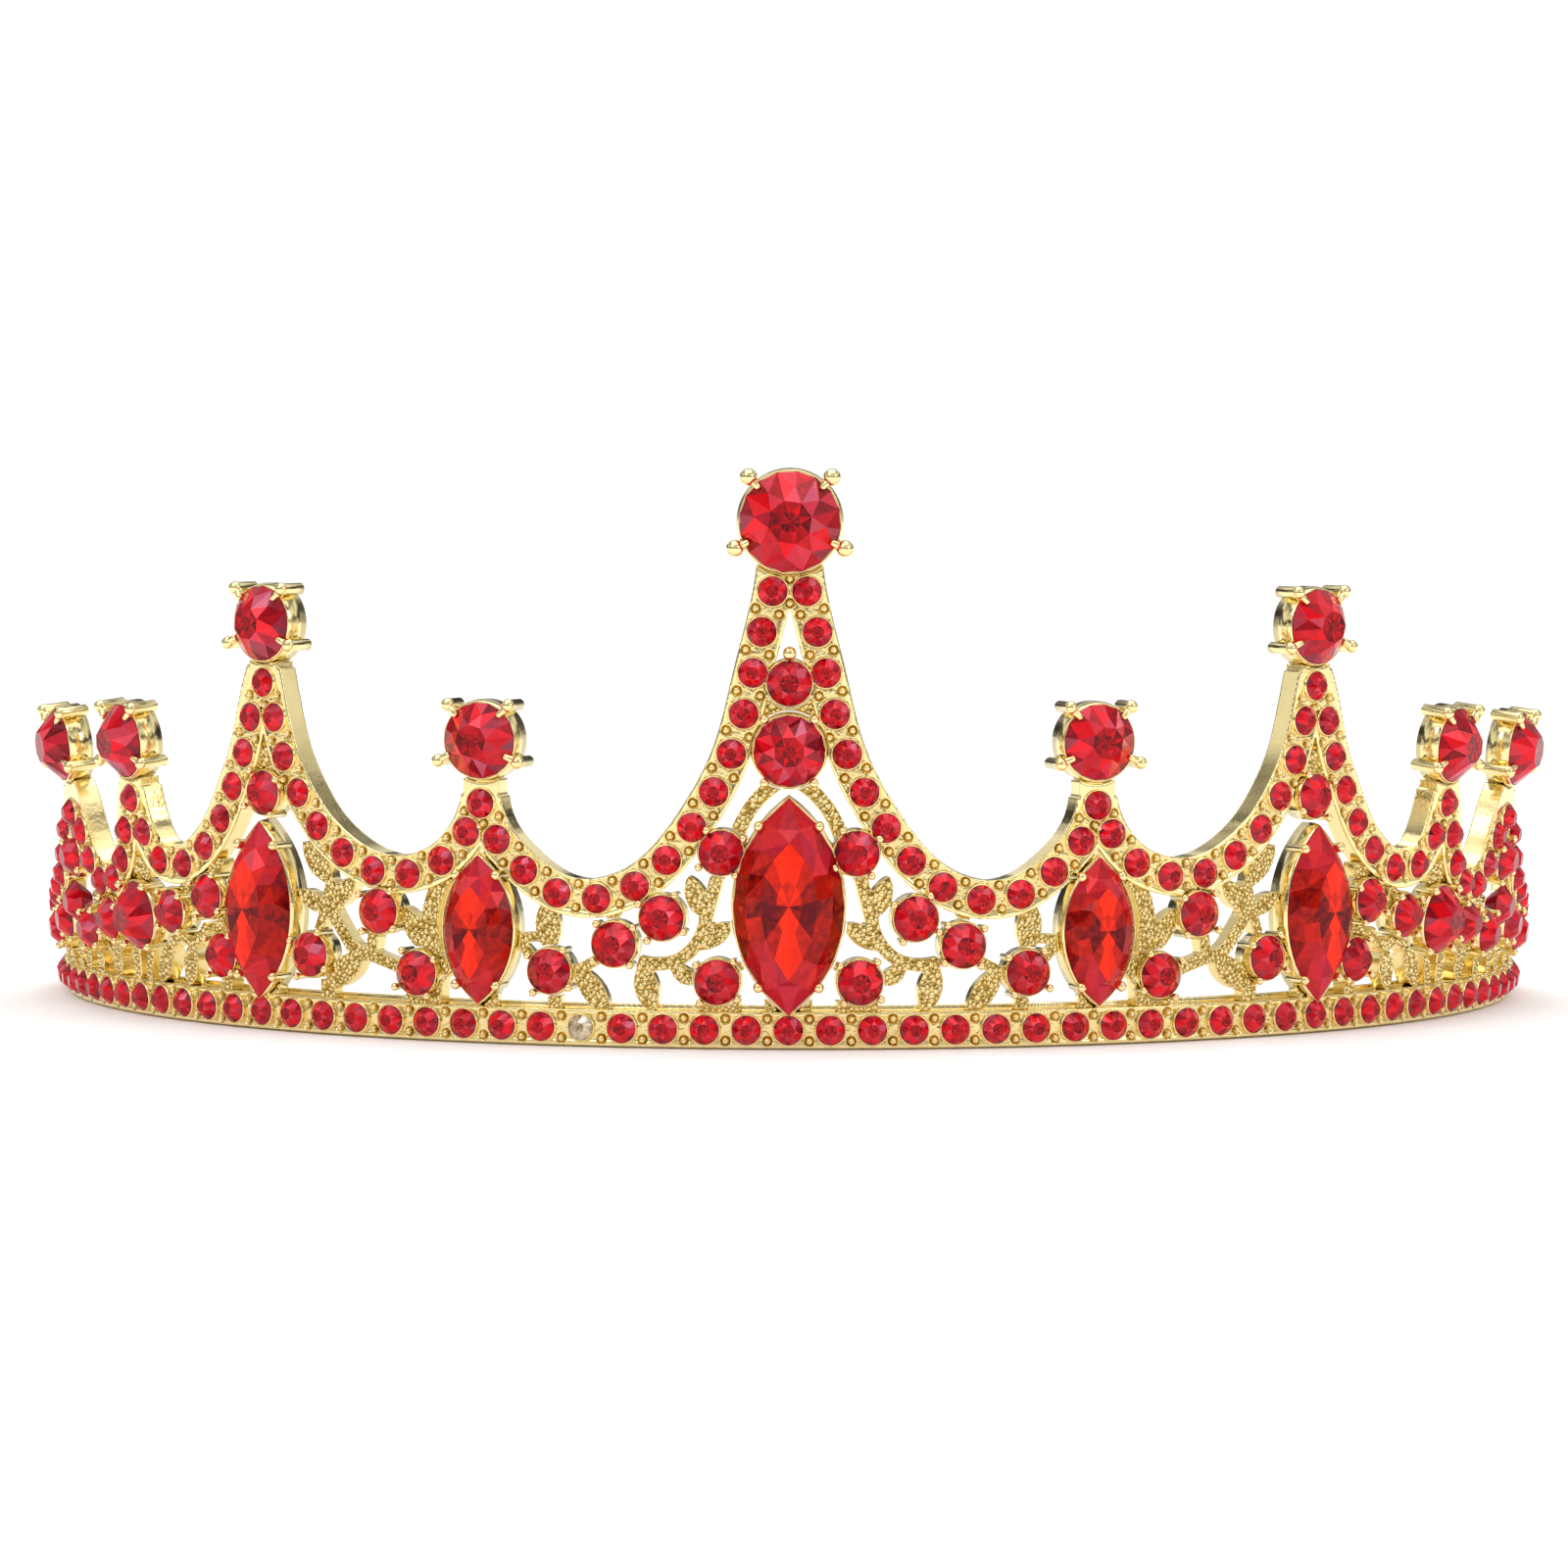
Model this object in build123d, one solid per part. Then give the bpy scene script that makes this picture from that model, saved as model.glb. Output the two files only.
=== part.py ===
from build123d import *
from bisect import bisect_left
import math
import os

# A half-round tiara: a stone-set base band, Λ-shaped peak arches joined at the bottoms of the
# swags between them, stone settings, leaf sprays, glued stones and two pin loops.
# The wall is drawn unrolled: s is the length along the band from the front centre, z is the
# height over the middle of the band, and off is the distance outwards from the stone line.
# Sizes are in millimetres. The right half (+X) is built and mirrored to the left.

# ---- driving dimensions ----
HALF_WIDTH = 81.0         # plan ellipse along X, at the stone line
HALF_DEPTH = 76.0         # plan ellipse along Y, front at -Y
BAND_HALF_HEIGHT = 1.85
BAND_BACK = -2.8          # inner face of the band
BAND_FACE = -0.3          # outer face of the band
BAND_LIP_TOP = 2.35       # the band's back wall stands above its stone channel
BAND_LIP_FACE = -2.25
BAND_END_Y = 8.2          # the band stops just behind the widest point
BAND_STONES_PER_SIDE = 30
BAND_STONE_PITCH = 4.3
CLEAR_STONE_INDEX = -5    # the one pale stone in the band
WALL_BACK = -2.6          # inner face of the openwork
WALL_FACE = -0.25         # outer face of the openwork
LEAF_BACK = -2.2
LEAF_FACE = -0.5
RAIL_WIDTH = 4.0
LEAN_START = 60.0         # the wall is upright to here, and leans out further round
LEAN_SPAN = 24.0
LEAN_SLOPE = 0.12
SEAT_GAP = 0.03           # glue gap round each stone
SEAT_CLEAR = 7.0          # a seat's cutter runs this far out past the girdle

# stones: girdle radius, and the height of the girdle over the stone line
SMALL_RADIUS = 1.5
CLEAR_RADIUS = 1.3
MEDIUM_RADIUS = 2.3
LARGE_RADIUS = 3.65
PEAK_RADIUS = 3.9
CENTRE_PEAK_RADIUS = 5.15
SMALL_GIRDLE = 0.0
MEDIUM_GIRDLE = 0.3
PEAK_GIRDLE = 0.4
CROWN_RATIO = 0.56        # crown height over radius
TABLE_RATIO = 0.36        # table radius over girdle radius
CULET_RATIO = 0.3
GIRDLE_BAND = 0.15
SMALL_DEPTH = 1.2         # girdle to the flat culet
MEDIUM_DEPTH = 1.7
PEAK_DEPTH = 1.9

# settings
CUP_WALL = 0.35
CUP_BACK = -2.4
CUP_RIM = 0.15
PEAK_CUP_WALL = 0.45
PEAK_CUP_RIM = 0.45
PRONG_REACH = 1.05        # prong axis outside the girdle
PRONG_RADIUS = 0.5
PRONG_TIP_RADIUS = 0.65
PEAK_PRONG_RADIUS = 0.63
PEAK_TIP_RADIUS = 0.7
CENTRE_PRONG_RADIUS = 0.7
CENTRE_TIP_RADIUS = 0.9
PRONG_BACK = -2.2
PRONG_FRONT = 0.3         # middle of a ball tip, over the girdle
PRONG_ANGLES = (47, 133, -26, 206)
MARQUISE_TIP_RATIO = 0.45  # prong height over the half length of a marquise

# pin loops at the two ends of the band
LOOP_HOLE_RADIUS = 1.5
LOOP_RADIUS = 3.4
LOOP_THICKNESS = 1.6
LOOP_GAP = 3.6            # hole centre past the band's end

# ---- layout on the unrolled wall: (s, z) of the right half ----
PEAK_TOPS = {"inner": (32.4, 29.2), "outer": (59.8, 40.6), "side": (79.6, 27.6), "end": (96.0, 26.4)}
PEAK_SINGLES = {"inner": (32.5, 22.7), "outer": (60.0, 34.4), "side": (79.8, 21.4), "end": (96.2, 18.9)}
CENTRE_TOP = (0.0, 51.8)

# each swag: the stretch that carries stones, its stone count, and how it runs on to each peak
SWAGS = [
    {
        "points": [(1.75, 44.75), (3.75, 36.35), (5.85, 28.3), (9.9, 20.7), (15.55, 14.75),
                   (19.75, 13.25), (24.1, 13.75), (27.75, 16.05), (30.65, 19.05)],
        "stones": 13, "start": (1.3, 48.4), "end": (32.2, 23.4),
    },
    {
        "points": [(34.1, 19.75), (36.95, 16.7), (40.85, 15.2), (45.05, 15.35), (49.05, 17.1),
                   (52.35, 19.7), (55.0, 23.1), (57.0, 26.65), (58.4, 30.8)],
        "stones": 9, "start": (32.8, 23.4), "end": (59.6, 35.5),
    },
    {
        "points": [(61.8, 30.7), (62.8, 26.9), (64.4, 23.25), (66.4, 19.4), (69.4, 16.2),
                   (73.2, 14.6), (76.2, 15.3), (78.1, 17.9)],
        "stones": 8, "start": (60.4, 35.5), "end": (79.4, 22.4),
    },
    {
        "points": [(81.5, 17.9), (82.9, 14.7), (85.9, 12.3), (89.3, 12.2), (91.7, 14.3), (93.3, 17.1)],
        "stones": 6, "start": (80.2, 22.4), "end": (95.6, 21.0),
    },
    {
        "points": [(99.2, 16.9), (101.5, 14.2), (104.3, 11.8), (107.8, 10.2), (111.4, 8.9), (114.8, 7.5)],
        "stones": 6, "start": (96.8, 21.0), "end": (121.0, 2.6),
    },
]
SWAG_BOTTOMS = (20.6, 42.9, 73.8, 87.6)    # where one arch meets the next

# marquise stones: (s, z), half width, half length, crown height
MARQUISES = {
    "centre": ((0.0, 12.65), 5.65, 11.1, 3.0),
    "inner": ((32.6, 9.75), 3.95, 7.65, 2.1),
    "outer": ((60.2, 10.6), 4.6, 9.25, 2.4),
}
MARQUISE_WALL = 0.45
MARQUISE_RIM = 0.3

LARGE_CENTRE_ROUND = (0.0, 28.5)
SMALL_CENTRE_ROUND = (0.0, 35.4)
SIDE_ROUND = (80.3, 8.9)

MEDIUM_STONES = {
    "centre_bay": [(6.9, 18.1), (7.3, 4.9), (13.0, 11.4), (17.95, 8.6), (24.8, 5.7)],
    "inner_bay": [(39.7, 5.0), (44.3, 11.2), (53.1, 6.3)],
    "outer_bay": [(59.7, 22.9), (66.0, 5.5), (68.05, 11.6), (73.9, 9.7)],
    "side_bay": [(86.7, 8.1), (92.8, 6.6), (96.0, 14.3), (96.8, 9.3), (101.6, 7.0), (107.2, 5.7)],
}

# leaves: (base, tip, width); stems and posts: (points, width)
LEAVES = {
    "centre_bay": [((8.9, 11.4), (10.4, 15.7), 2.1), ((9.8, 8.2), (5.8, 10.9), 2.2),
                   ((12.2, 6.4), (9.5, 4.6), 1.7), ((15.3, 6.8), (14.1, 1.6), 2.5),
                   ((22.2, 6.3), (18.5, 1.3), 2.4), ((25.3, 13.2), (24.9, 7.4), 2.7)],
    "inner_bay": [((42.2, 12.0), (38.5, 6.8), 2.3), ((50.6, 13.6), (54.7, 18.0), 2.4),
                  ((51.1, 10.8), (55.5, 12.9), 1.9), ((50.8, 11.2), (47.7, 14.6), 2.1),
                  ((46.6, 6.6), (51.6, 3.1), 2.8)],
    "outer_bay": [((75.1, 6.4), (77.8, 1.7), 2.4), ((71.5, 6.6), (72.4, 1.7), 2.4),
                  ((68.4, 13.4), (66.2, 15.6), 1.7), ((77.9, 13.0), (81.6, 14.8), 2.2)],
    "side_bay": [((88.4, 4.8), (87.5, 1.6), 2.2), ((93.6, 10.2), (89.6, 9.4), 1.8),
                 ((98.9, 6.0), (97.2, 1.6), 2.3), ((110.4, 7.4), (112.8, 1.6), 2.2)],
}
STEMS = {
    "centre_bay": [([(7.4, 15.9), (8.7, 11.0)], 1.35),
                   ([(8.6, 11.4), (9.6, 8.7), (11.4, 7.1), (13.4, 6.6), (15.6, 6.8)], 1.35),
                   ([(18.2, 12.6), (18.1, 10.2)], 1.3), ([(24.4, 3.8), (24.3, 1.6)], 1.5),
                   ([(7.2, 3.0), (7.2, 1.6)], 4.2), ([(19.6, 7.1), (21.8, 5.9)], 1.1),
                   ([(29.6, 8.9), (25.2, 9.2)], 1.0), ([(28.6, 8.9), (26.3, 6.6)], 1.1),
                   ([(31.3, 4.0), (31.3, 1.6)], 1.6), ([(1.9, 3.6), (1.9, 1.6)], 1.3),
                   ([(5.6, 6.2), (3.9, 7.2)], 1.0),
                   ([(1.4, 25.2), (3.3, 23.6), (4.8, 21.4), (5.8, 18.8)], 1.5)],
    "inner_bay": [([(36.7, 15.2), (38.3, 12.2), (38.6, 9.6), (38.2, 7.0)], 1.9),
                  ([(38.5, 7.4), (36.2, 5.0)], 1.2), ([(37.7, 5.2), (37.9, 1.6)], 1.2),
                  ([(46.8, 6.8), (44.6, 6.2), (41.6, 5.2)], 1.3), ([(45.4, 8.9), (45.8, 6.4)], 1.3),
                  ([(43.4, 12.8), (42.8, 15.2)], 1.2),
                  ([(50.6, 14.2), (50.9, 11.2), (49.6, 9.2), (47.8, 7.1), (46.2, 6.6)], 1.4),
                  ([(51.7, 10.9), (52.7, 8.2)], 1.2), ([(51.3, 3.8), (51.2, 1.6)], 1.8),
                  ([(39.7, 2.9), (39.7, 1.6)], 3.4), ([(58.6, 3.9), (58.6, 1.6)], 1.5)],
    "outer_bay": [([(72.6, 14.4), (72.4, 9.7), (73.3, 7.5), (75.3, 6.2)], 1.3),
                  ([(73.4, 7.4), (71.5, 6.6), (69.0, 8.4)], 1.2), ([(67.5, 10.2), (66.9, 7.6)], 1.8),
                  ([(66.0, 3.4), (65.9, 1.6)], 1.6), ([(61.6, 4.0), (61.6, 1.6)], 1.5),
                  ([(77.2, 7.0), (79.4, 4.6), (80.2, 1.6)], 1.2), ([(59.9, 25.0), (59.9, 27.6)], 5.0)],
    "side_bay": [([(85.0, 6.4), (88.3, 4.6), (91.0, 5.6)], 1.3), ([(87.6, 10.4), (88.2, 12.0)], 1.3),
                 ([(82.7, 5.6), (83.0, 1.6)], 1.3), ([(93.0, 4.6), (93.1, 1.6)], 1.5),
                 ([(94.2, 8.4), (95.2, 9.0)], 1.4), ([(101.4, 5.0), (101.3, 1.6)], 1.5),
                 ([(107.1, 3.6), (107.1, 1.6)], 2.0), ([(98.8, 8.6), (99.8, 8.0)], 1.4),
                 ([(101.9, 9.2), (103.0, 12.0)], 1.3), ([(103.8, 6.6), (105.2, 6.2)], 1.3),
                 ([(107.3, 8.0), (107.6, 9.6)], 1.5)],
}
CENTRE_WEB = [(-5.2, 29.6), (-2.4, 37.6), (2.4, 37.6), (5.2, 29.6)]
LEAF_BELLY = 0.5          # a leaf is widest halfway along

# ---- the wall's plan, lean and frames ----
TABLE_STEPS = 2400
TABLE_END = math.radians(135)
SIDE_REACH = 124.0        # the openwork shell runs to here on each side
SHELL_STEP = 4.0
SHELL_BOTTOM = 1.0
SHELL_TOP = 60.0
SWEEP = 8.0               # half length of a drawing's extrusion
OVERLAP = 0.6             # how far a crossing piece runs on before it is trimmed


def arc_table():
    """Arc length along the plan ellipse at evenly stepped angles from the front."""
    step = TABLE_END / TABLE_STEPS
    lengths = [0.0]
    for i in range(TABLE_STEPS):
        mid = (i + 0.5) * step
        speed = math.hypot(HALF_WIDTH * math.cos(mid), HALF_DEPTH * math.sin(mid))
        lengths.append(lengths[-1] + step * speed)
    return lengths


ARC = arc_table()


def plan_angle(s):
    """Ellipse angle from the front at arc length s, with the sign of s."""
    i = min(max(bisect_left(ARC, abs(s)), 1), TABLE_STEPS)
    part = (abs(s) - ARC[i - 1]) / (ARC[i] - ARC[i - 1])
    return math.copysign((i - 1 + part) * TABLE_END / TABLE_STEPS, s)


def plan_frame(s):
    """Point, tangent and outward normal of the plan ellipse at arc length s."""
    t = plan_angle(s)
    point = Vector(HALF_WIDTH * math.sin(t), -HALF_DEPTH * math.cos(t), 0)
    tangent = Vector(HALF_WIDTH * math.cos(t), HALF_DEPTH * math.sin(t), 0).normalized()
    normal = tangent.cross(Vector(0, 0, 1))
    return point, tangent, normal


def lean(s):
    """Outward slope of the wall at arc length s: none at the front, easing in towards the sides."""
    u = min(max((abs(s) - LEAN_START) / LEAN_SPAN, 0.0), 1.0)
    return LEAN_SLOPE * u * u * (3 - 2 * u)


def wall_frame(s, z):
    """Point on the stone line's surface, with the wall's tangent and leaning normal there."""
    point, tangent, normal = plan_frame(s)
    slope = lean(s)
    point = point + normal * (z * slope) + Vector(0, 0, z)
    return point, tangent, (normal - Vector(0, 0, slope)).normalized()


def wall_plane(s, z, off=0.0):
    """Plane on the wall: x along the band, y up the wall, z outwards."""
    point, tangent, normal = wall_frame(s, z)
    return Plane(origin=point + normal * off, x_dir=tangent, z_dir=normal)


def wall_shell(inner, outer):
    """The openwork's wall as one closed shell between two offsets, leaning out at the sides."""
    count = round(2 * SIDE_REACH / SHELL_STEP)
    stations = [-SIDE_REACH + i * SHELL_STEP for i in range(count + 1)]
    sections = []
    for z in (SHELL_BOTTOM, SHELL_TOP):
        rows = []
        for off in (inner, outer):
            rows.append([plan_frame(s)[0] + plan_frame(s)[2] * (z * lean(s) + off) + Vector(0, 0, z)
                         for s in stations])
        ends = [Line(rows[0][i], rows[1][i]) for i in (0, -1)]
        edges = [Spline(*rows[0]), ends[1], Spline(*rows[1]), ends[0]]
        sections.append(Face(Wire(edges)))
    return loft(sections=sections, ruled=True)


# ---- flat drawings pressed onto the wall ----
class Board:
    """A drawing board that touches the wall at arc length s0."""

    def __init__(self, s0):
        self.plane = wall_plane(s0, 0)

    def at(self, s, z):
        """Board coordinates of a point of the unrolled wall."""
        local = self.plane.to_local_coords(wall_frame(s, z)[0])
        return local.X, local.Y

    def press(self, drawing, shell):
        """Solids of a drawing pushed through the wall and kept between the shell's faces."""
        block = extrude(self.plane * drawing, amount=SWEEP, both=True)
        return solids_of(block & shell)


def solids_of(shape):
    """The separate solids of any boolean result, without crumbs."""
    if shape is None:
        return []
    if isinstance(shape, (list, tuple)):
        found = [solid for item in shape for solid in item.solids()]
    else:
        found = list(shape.solids())
    return [solid for solid in found if solid.volume > 0.05]


def strip(board, points, width, samples=None):
    """Face of constant width along a smooth line through unrolled points."""
    if len(points) > 2:
        line = Spline(*points)
    else:
        line = Line(*points)
    count = samples or (2 if len(points) == 2 else 3 * len(points))
    sides = [[], []]
    for i in range(count):
        here = line @ (i / (count - 1))
        along = line % (i / (count - 1))
        for side, sign in zip(sides, (1, -1)):
            side.append(board.at(here.X - sign * along.Y * width / 2, here.Y + sign * along.X * width / 2))
    if count == 2:
        return make_face(Polyline(*sides[0], *reversed(sides[1]), close=True))
    ends = [Line(sides[0][i], sides[1][i]) for i in (0, -1)]
    return make_face([Spline(*sides[0]), ends[1], Spline(*sides[1]), ends[0]])


def leaf(board, base, tip, width):
    """Pointed leaf face between two unrolled points."""
    root = Vector(*board.at(*base))
    end = Vector(*board.at(*tip))
    mid = root + (end - root) * LEAF_BELLY
    across = (end - root).normalized().cross(Vector(0, 0, 1)) * (width / 2)
    return make_face([ThreePointArc(root, mid + across, end), ThreePointArc(end, mid - across, root)])


def trimmed(solids, cutters):
    """Solids less every cutter whose box meets theirs."""
    kept = []
    for solid in solids:
        parts = [solid]
        for tool in cutters:
            if boxes_meet(solid.bounding_box(), tool.bounding_box()):
                parts = [piece for part in parts for piece in solids_of(part - tool)]
        kept.extend(parts)
    return kept


def boxes_meet(a, b):
    """True if two bounding boxes overlap."""
    return all(lo_a < hi_b and lo_b < hi_a for lo_a, hi_a, lo_b, hi_b in (
        (a.min.X, a.max.X, b.min.X, b.max.X),
        (a.min.Y, a.max.Y, b.min.Y, b.max.Y),
        (a.min.Z, a.max.Z, b.min.Z, b.max.Z)))


# ---- stones and settings ----
def turned(profile):
    """Solid turned about Z from an (r, z) outline."""
    return revolve(make_face(Plane.XZ * Polyline(*profile, close=True)), Axis.Z)


def round_stone(plane, radius, depth):
    """Brilliant-like round stone with its girdle on the plane."""
    return plane.location * turned([
        (0, -depth), (CULET_RATIO * radius, -depth), (radius, -GIRDLE_BAND), (radius, 0),
        (TABLE_RATIO * radius, CROWN_RATIO * radius), (0, CROWN_RATIO * radius)])


def round_seat(plane, radius, depth):
    """Cutter for a round seat, open to the front."""
    cutter = Cylinder(radius + SEAT_GAP, depth + SEAT_CLEAR, align=(Align.CENTER, Align.CENTER, Align.MIN))
    return plane.location * Pos(0, 0, -depth) * cutter


def cup(plane, radius, girdle, wall=CUP_WALL, rim=CUP_RIM):
    """Round cup from the wall's back to its rim; the plane is at the girdle."""
    height = rim - CUP_BACK
    body = Cylinder(radius + wall, height, align=(Align.CENTER, Align.CENTER, Align.MIN))
    return plane.location * Pos(0, 0, CUP_BACK - girdle) * body


def marquise_face(half_width, half_length):
    """Pointed oval standing on end."""
    return make_face([
        ThreePointArc((0, -half_length), (half_width, 0), (0, half_length)),
        ThreePointArc((0, half_length), (-half_width, 0), (0, -half_length))])


def marquise_stone(plane, half_width, half_length, crown, depth):
    """Marquise stone with its girdle on the plane."""
    girdle = marquise_face(half_width, half_length)
    table = Pos(0, 0, crown) * marquise_face(0.42 * half_width, 0.5 * half_length)
    culet = Pos(0, 0, -depth) * marquise_face(0.3 * half_width, 0.3 * half_length)
    top = loft(sections=[girdle.face(), table.face()], ruled=True)
    base = loft(sections=[girdle.face(), culet.face()], ruled=True)
    return plane.location * (top + base)


def marquise_block(plane, half_width, half_length, low, high):
    """Prism with a marquise outline between two heights over the plane."""
    return plane.location * Pos(0, 0, low) * extrude(marquise_face(half_width, half_length), high - low)


def prong(plane, x, y, low, high, radius, tip_radius):
    """Prong along the stone's axis with a ball tip."""
    post = Cylinder(radius, high - low, align=(Align.CENTER, Align.CENTER, Align.MIN))
    body = (Pos(0, 0, low) * post) + (Pos(0, 0, high) * Sphere(tip_radius))
    return plane.location * Pos(x, y, 0) * body


def four_prongs(plane, radius, post_radius, tip_radius, girdle):
    """The four prongs of a peak setting, two high and two low, each with a short root."""
    prongs = []
    for angle in PRONG_ANGLES:
        x = (radius + PRONG_REACH) * math.cos(math.radians(angle))
        y = (radius + PRONG_REACH) * math.sin(math.radians(angle))
        post = prong(plane, x, y, PRONG_BACK - girdle, PRONG_FRONT, post_radius, tip_radius)
        root = Box(PRONG_REACH, 1.2 * post_radius, -PRONG_BACK + girdle,
                   align=(Align.MIN, Align.CENTER, Align.MAX))
        spot = plane.location * Pos(0, 0, -0.1) * Rot(0, 0, angle) * Pos(radius + CUP_WALL / 2, 0, 0)
        prongs.extend([post, spot * root])
    return prongs


def peak_basket(s, z, radius, post_radius, tip_radius):
    """Cup and four prongs for a stone on a peak."""
    plane = wall_plane(s, z, PEAK_GIRDLE)
    body = cup(plane, radius, PEAK_GIRDLE, PEAK_CUP_WALL, PEAK_CUP_RIM)
    return body.fuse(*four_prongs(plane, radius, post_radius, tip_radius, PEAK_GIRDLE)).clean().solid()


def marquise_setting(s, z, half_width, half_length):
    """Boat-shaped cup with four prongs at its shoulders."""
    plane = wall_plane(s, z, MEDIUM_GIRDLE)
    body = marquise_block(plane, half_width + MARQUISE_WALL, half_length + 0.7 * MARQUISE_WALL,
                          CUP_BACK - MEDIUM_GIRDLE, MARQUISE_RIM - MEDIUM_GIRDLE)
    reach_y = half_length * MARQUISE_TIP_RATIO * 1.6
    reach_x = half_width * (1 - (reach_y / half_length) ** 2) + MARQUISE_WALL + PRONG_RADIUS / 2
    prongs = [prong(plane, sx * reach_x, sy * reach_y, PRONG_BACK, MARQUISE_RIM, PRONG_RADIUS,
                    PRONG_TIP_RADIUS) for sx in (-1, 1) for sy in (-1, 1)]
    return body.fuse(*prongs).clean().solid()


def mirrored(solids):
    """The same solids on the other side of the front centre."""
    return [mirror(solid, about=Plane.YZ) for solid in solids]


# ---- stone places ----
def swag_stones(swag):
    """Evenly spaced stone places along a swag."""
    line = Spline(*swag["points"])
    spots = [line @ (i / (swag["stones"] - 1)) for i in range(swag["stones"])]
    return [(spot.X, spot.Y) for spot in spots]


RAIL_PLACES = [place for swag in SWAGS for place in swag_stones(swag)] + list(PEAK_SINGLES.values())
MEDIUM_PLACES = [place for bay in MEDIUM_STONES.values() for place in bay]

nodes = {}

# ---- stones ----
seats = []
rail_stones = []
for s, z in RAIL_PLACES:
    plane = wall_plane(s, z, SMALL_GIRDLE)
    rail_stones.append(round_stone(plane, SMALL_RADIUS, SMALL_DEPTH))
    seats.append(round_seat(plane, SMALL_RADIUS, SMALL_DEPTH))

medium_stones = []
for s, z in MEDIUM_PLACES:
    plane = wall_plane(s, z, MEDIUM_GIRDLE)
    medium_stones.append(round_stone(plane, MEDIUM_RADIUS, MEDIUM_DEPTH))
    seats.append(round_seat(plane, MEDIUM_RADIUS, MEDIUM_DEPTH))

peak_stones = []
for s, z in PEAK_TOPS.values():
    plane = wall_plane(s, z, PEAK_GIRDLE)
    peak_stones.append(round_stone(plane, PEAK_RADIUS, PEAK_DEPTH))
    seats.append(round_seat(plane, PEAK_RADIUS, PEAK_DEPTH))

side_plane = wall_plane(*SIDE_ROUND, MEDIUM_GIRDLE)
side_round_stone = round_stone(side_plane, LARGE_RADIUS, PEAK_DEPTH)
seats.append(round_seat(side_plane, LARGE_RADIUS, PEAK_DEPTH))

marquise_stones = {}
for name, ((s, z), half_width, half_length, crown) in MARQUISES.items():
    plane = wall_plane(s, z, MEDIUM_GIRDLE)
    marquise_stones[name] = marquise_stone(plane, half_width, half_length, crown, MEDIUM_DEPTH)
    seats.append(marquise_block(
        plane, half_width + SEAT_GAP, half_length + SEAT_GAP, -MEDIUM_DEPTH, SEAT_CLEAR))

centre_top_plane = wall_plane(*CENTRE_TOP, PEAK_GIRDLE)
large_plane = wall_plane(*LARGE_CENTRE_ROUND, MEDIUM_GIRDLE)
small_plane = wall_plane(*SMALL_CENTRE_ROUND, MEDIUM_GIRDLE)
centre_seats = [
    round_seat(centre_top_plane, CENTRE_PEAK_RADIUS, PEAK_DEPTH),
    round_seat(large_plane, LARGE_RADIUS, PEAK_DEPTH),
    round_seat(small_plane, MEDIUM_RADIUS, MEDIUM_DEPTH)]
seats.extend(centre_seats)

band_seats = []
band_stones = []
for i in range(-BAND_STONES_PER_SIDE, BAND_STONES_PER_SIDE + 1):
    plane = wall_plane(i * BAND_STONE_PITCH, 0, SMALL_GIRDLE)
    radius = CLEAR_RADIUS if i == CLEAR_STONE_INDEX else SMALL_RADIUS
    stone = round_stone(plane, radius, SMALL_DEPTH)
    band_seats.append(round_seat(plane, radius, SMALL_DEPTH))
    if i == CLEAR_STONE_INDEX:
        nodes["clear_band_stone"] = [stone]
    else:
        band_stones.append(stone)

nodes["band_stones"] = band_stones
nodes["rail_stones"] = rail_stones + mirrored(rail_stones)
nodes["medium_round_stones"] = (
    medium_stones + mirrored(medium_stones) + [round_stone(small_plane, MEDIUM_RADIUS, MEDIUM_DEPTH)])
nodes["large_round_stones"] = (
    [side_round_stone] + mirrored([side_round_stone]) + [round_stone(large_plane, LARGE_RADIUS, PEAK_DEPTH)])
nodes["peak_stones"] = peak_stones + mirrored(peak_stones)
nodes["centre_peak_stone"] = [round_stone(centre_top_plane, CENTRE_PEAK_RADIUS, PEAK_DEPTH)]
nodes["centre_marquise_stone"] = [marquise_stones["centre"]]
for name in ("inner", "outer"):
    nodes[f"{name}_marquise_stones"] = [marquise_stones[name]] + mirrored([marquise_stones[name]])


# ---- base band ----
def ring(inner, outer, low, high):
    """Full ring of the band's plan between two offsets and two heights."""
    plan = Ellipse(HALF_WIDTH + outer, HALF_DEPTH + outer)
    plan -= Ellipse(HALF_WIDTH + inner, HALF_DEPTH + inner)
    return Pos(0, 0, low) * extrude(plan, high - low)


whole_ring = ring(BAND_BACK, BAND_FACE, -BAND_HALF_HEIGHT, BAND_HALF_HEIGHT)
whole_ring += ring(BAND_BACK, BAND_LIP_FACE, 0, BAND_LIP_TOP)
behind = Pos(0, BAND_END_Y, 0) * Box(
    4 * HALF_WIDTH, 4 * HALF_DEPTH, 4 * BAND_LIP_TOP, align=(Align.CENTER, Align.MIN, Align.CENTER))
plain_band = (whole_ring - behind).solid()
nodes["base_band"] = solids_of(plain_band - band_seats)

# ---- pin loops ----
end_angle = math.acos(-BAND_END_Y / HALF_DEPTH)
end_s = ARC[round(end_angle * TABLE_STEPS / TABLE_END)]
loop_middle = (BAND_BACK + BAND_FACE) / 2
loop_plane = wall_plane(end_s + LOOP_GAP, 0, loop_middle)
loop_plane = Plane(origin=(loop_plane.origin.X, loop_plane.origin.Y, 0), x_dir=loop_plane.x_dir,
                   z_dir=plan_frame(end_s + LOOP_GAP)[2])
tab = Pos(-LOOP_GAP - OVERLAP, 0) * Rectangle(
    LOOP_GAP + OVERLAP, 2 * BAND_HALF_HEIGHT, align=(Align.MIN, Align.CENTER))
loop_drawing = Circle(LOOP_RADIUS) + tab - Circle(LOOP_HOLE_RADIUS)
loop_lift = LOOP_RADIUS - BAND_HALF_HEIGHT
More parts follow.
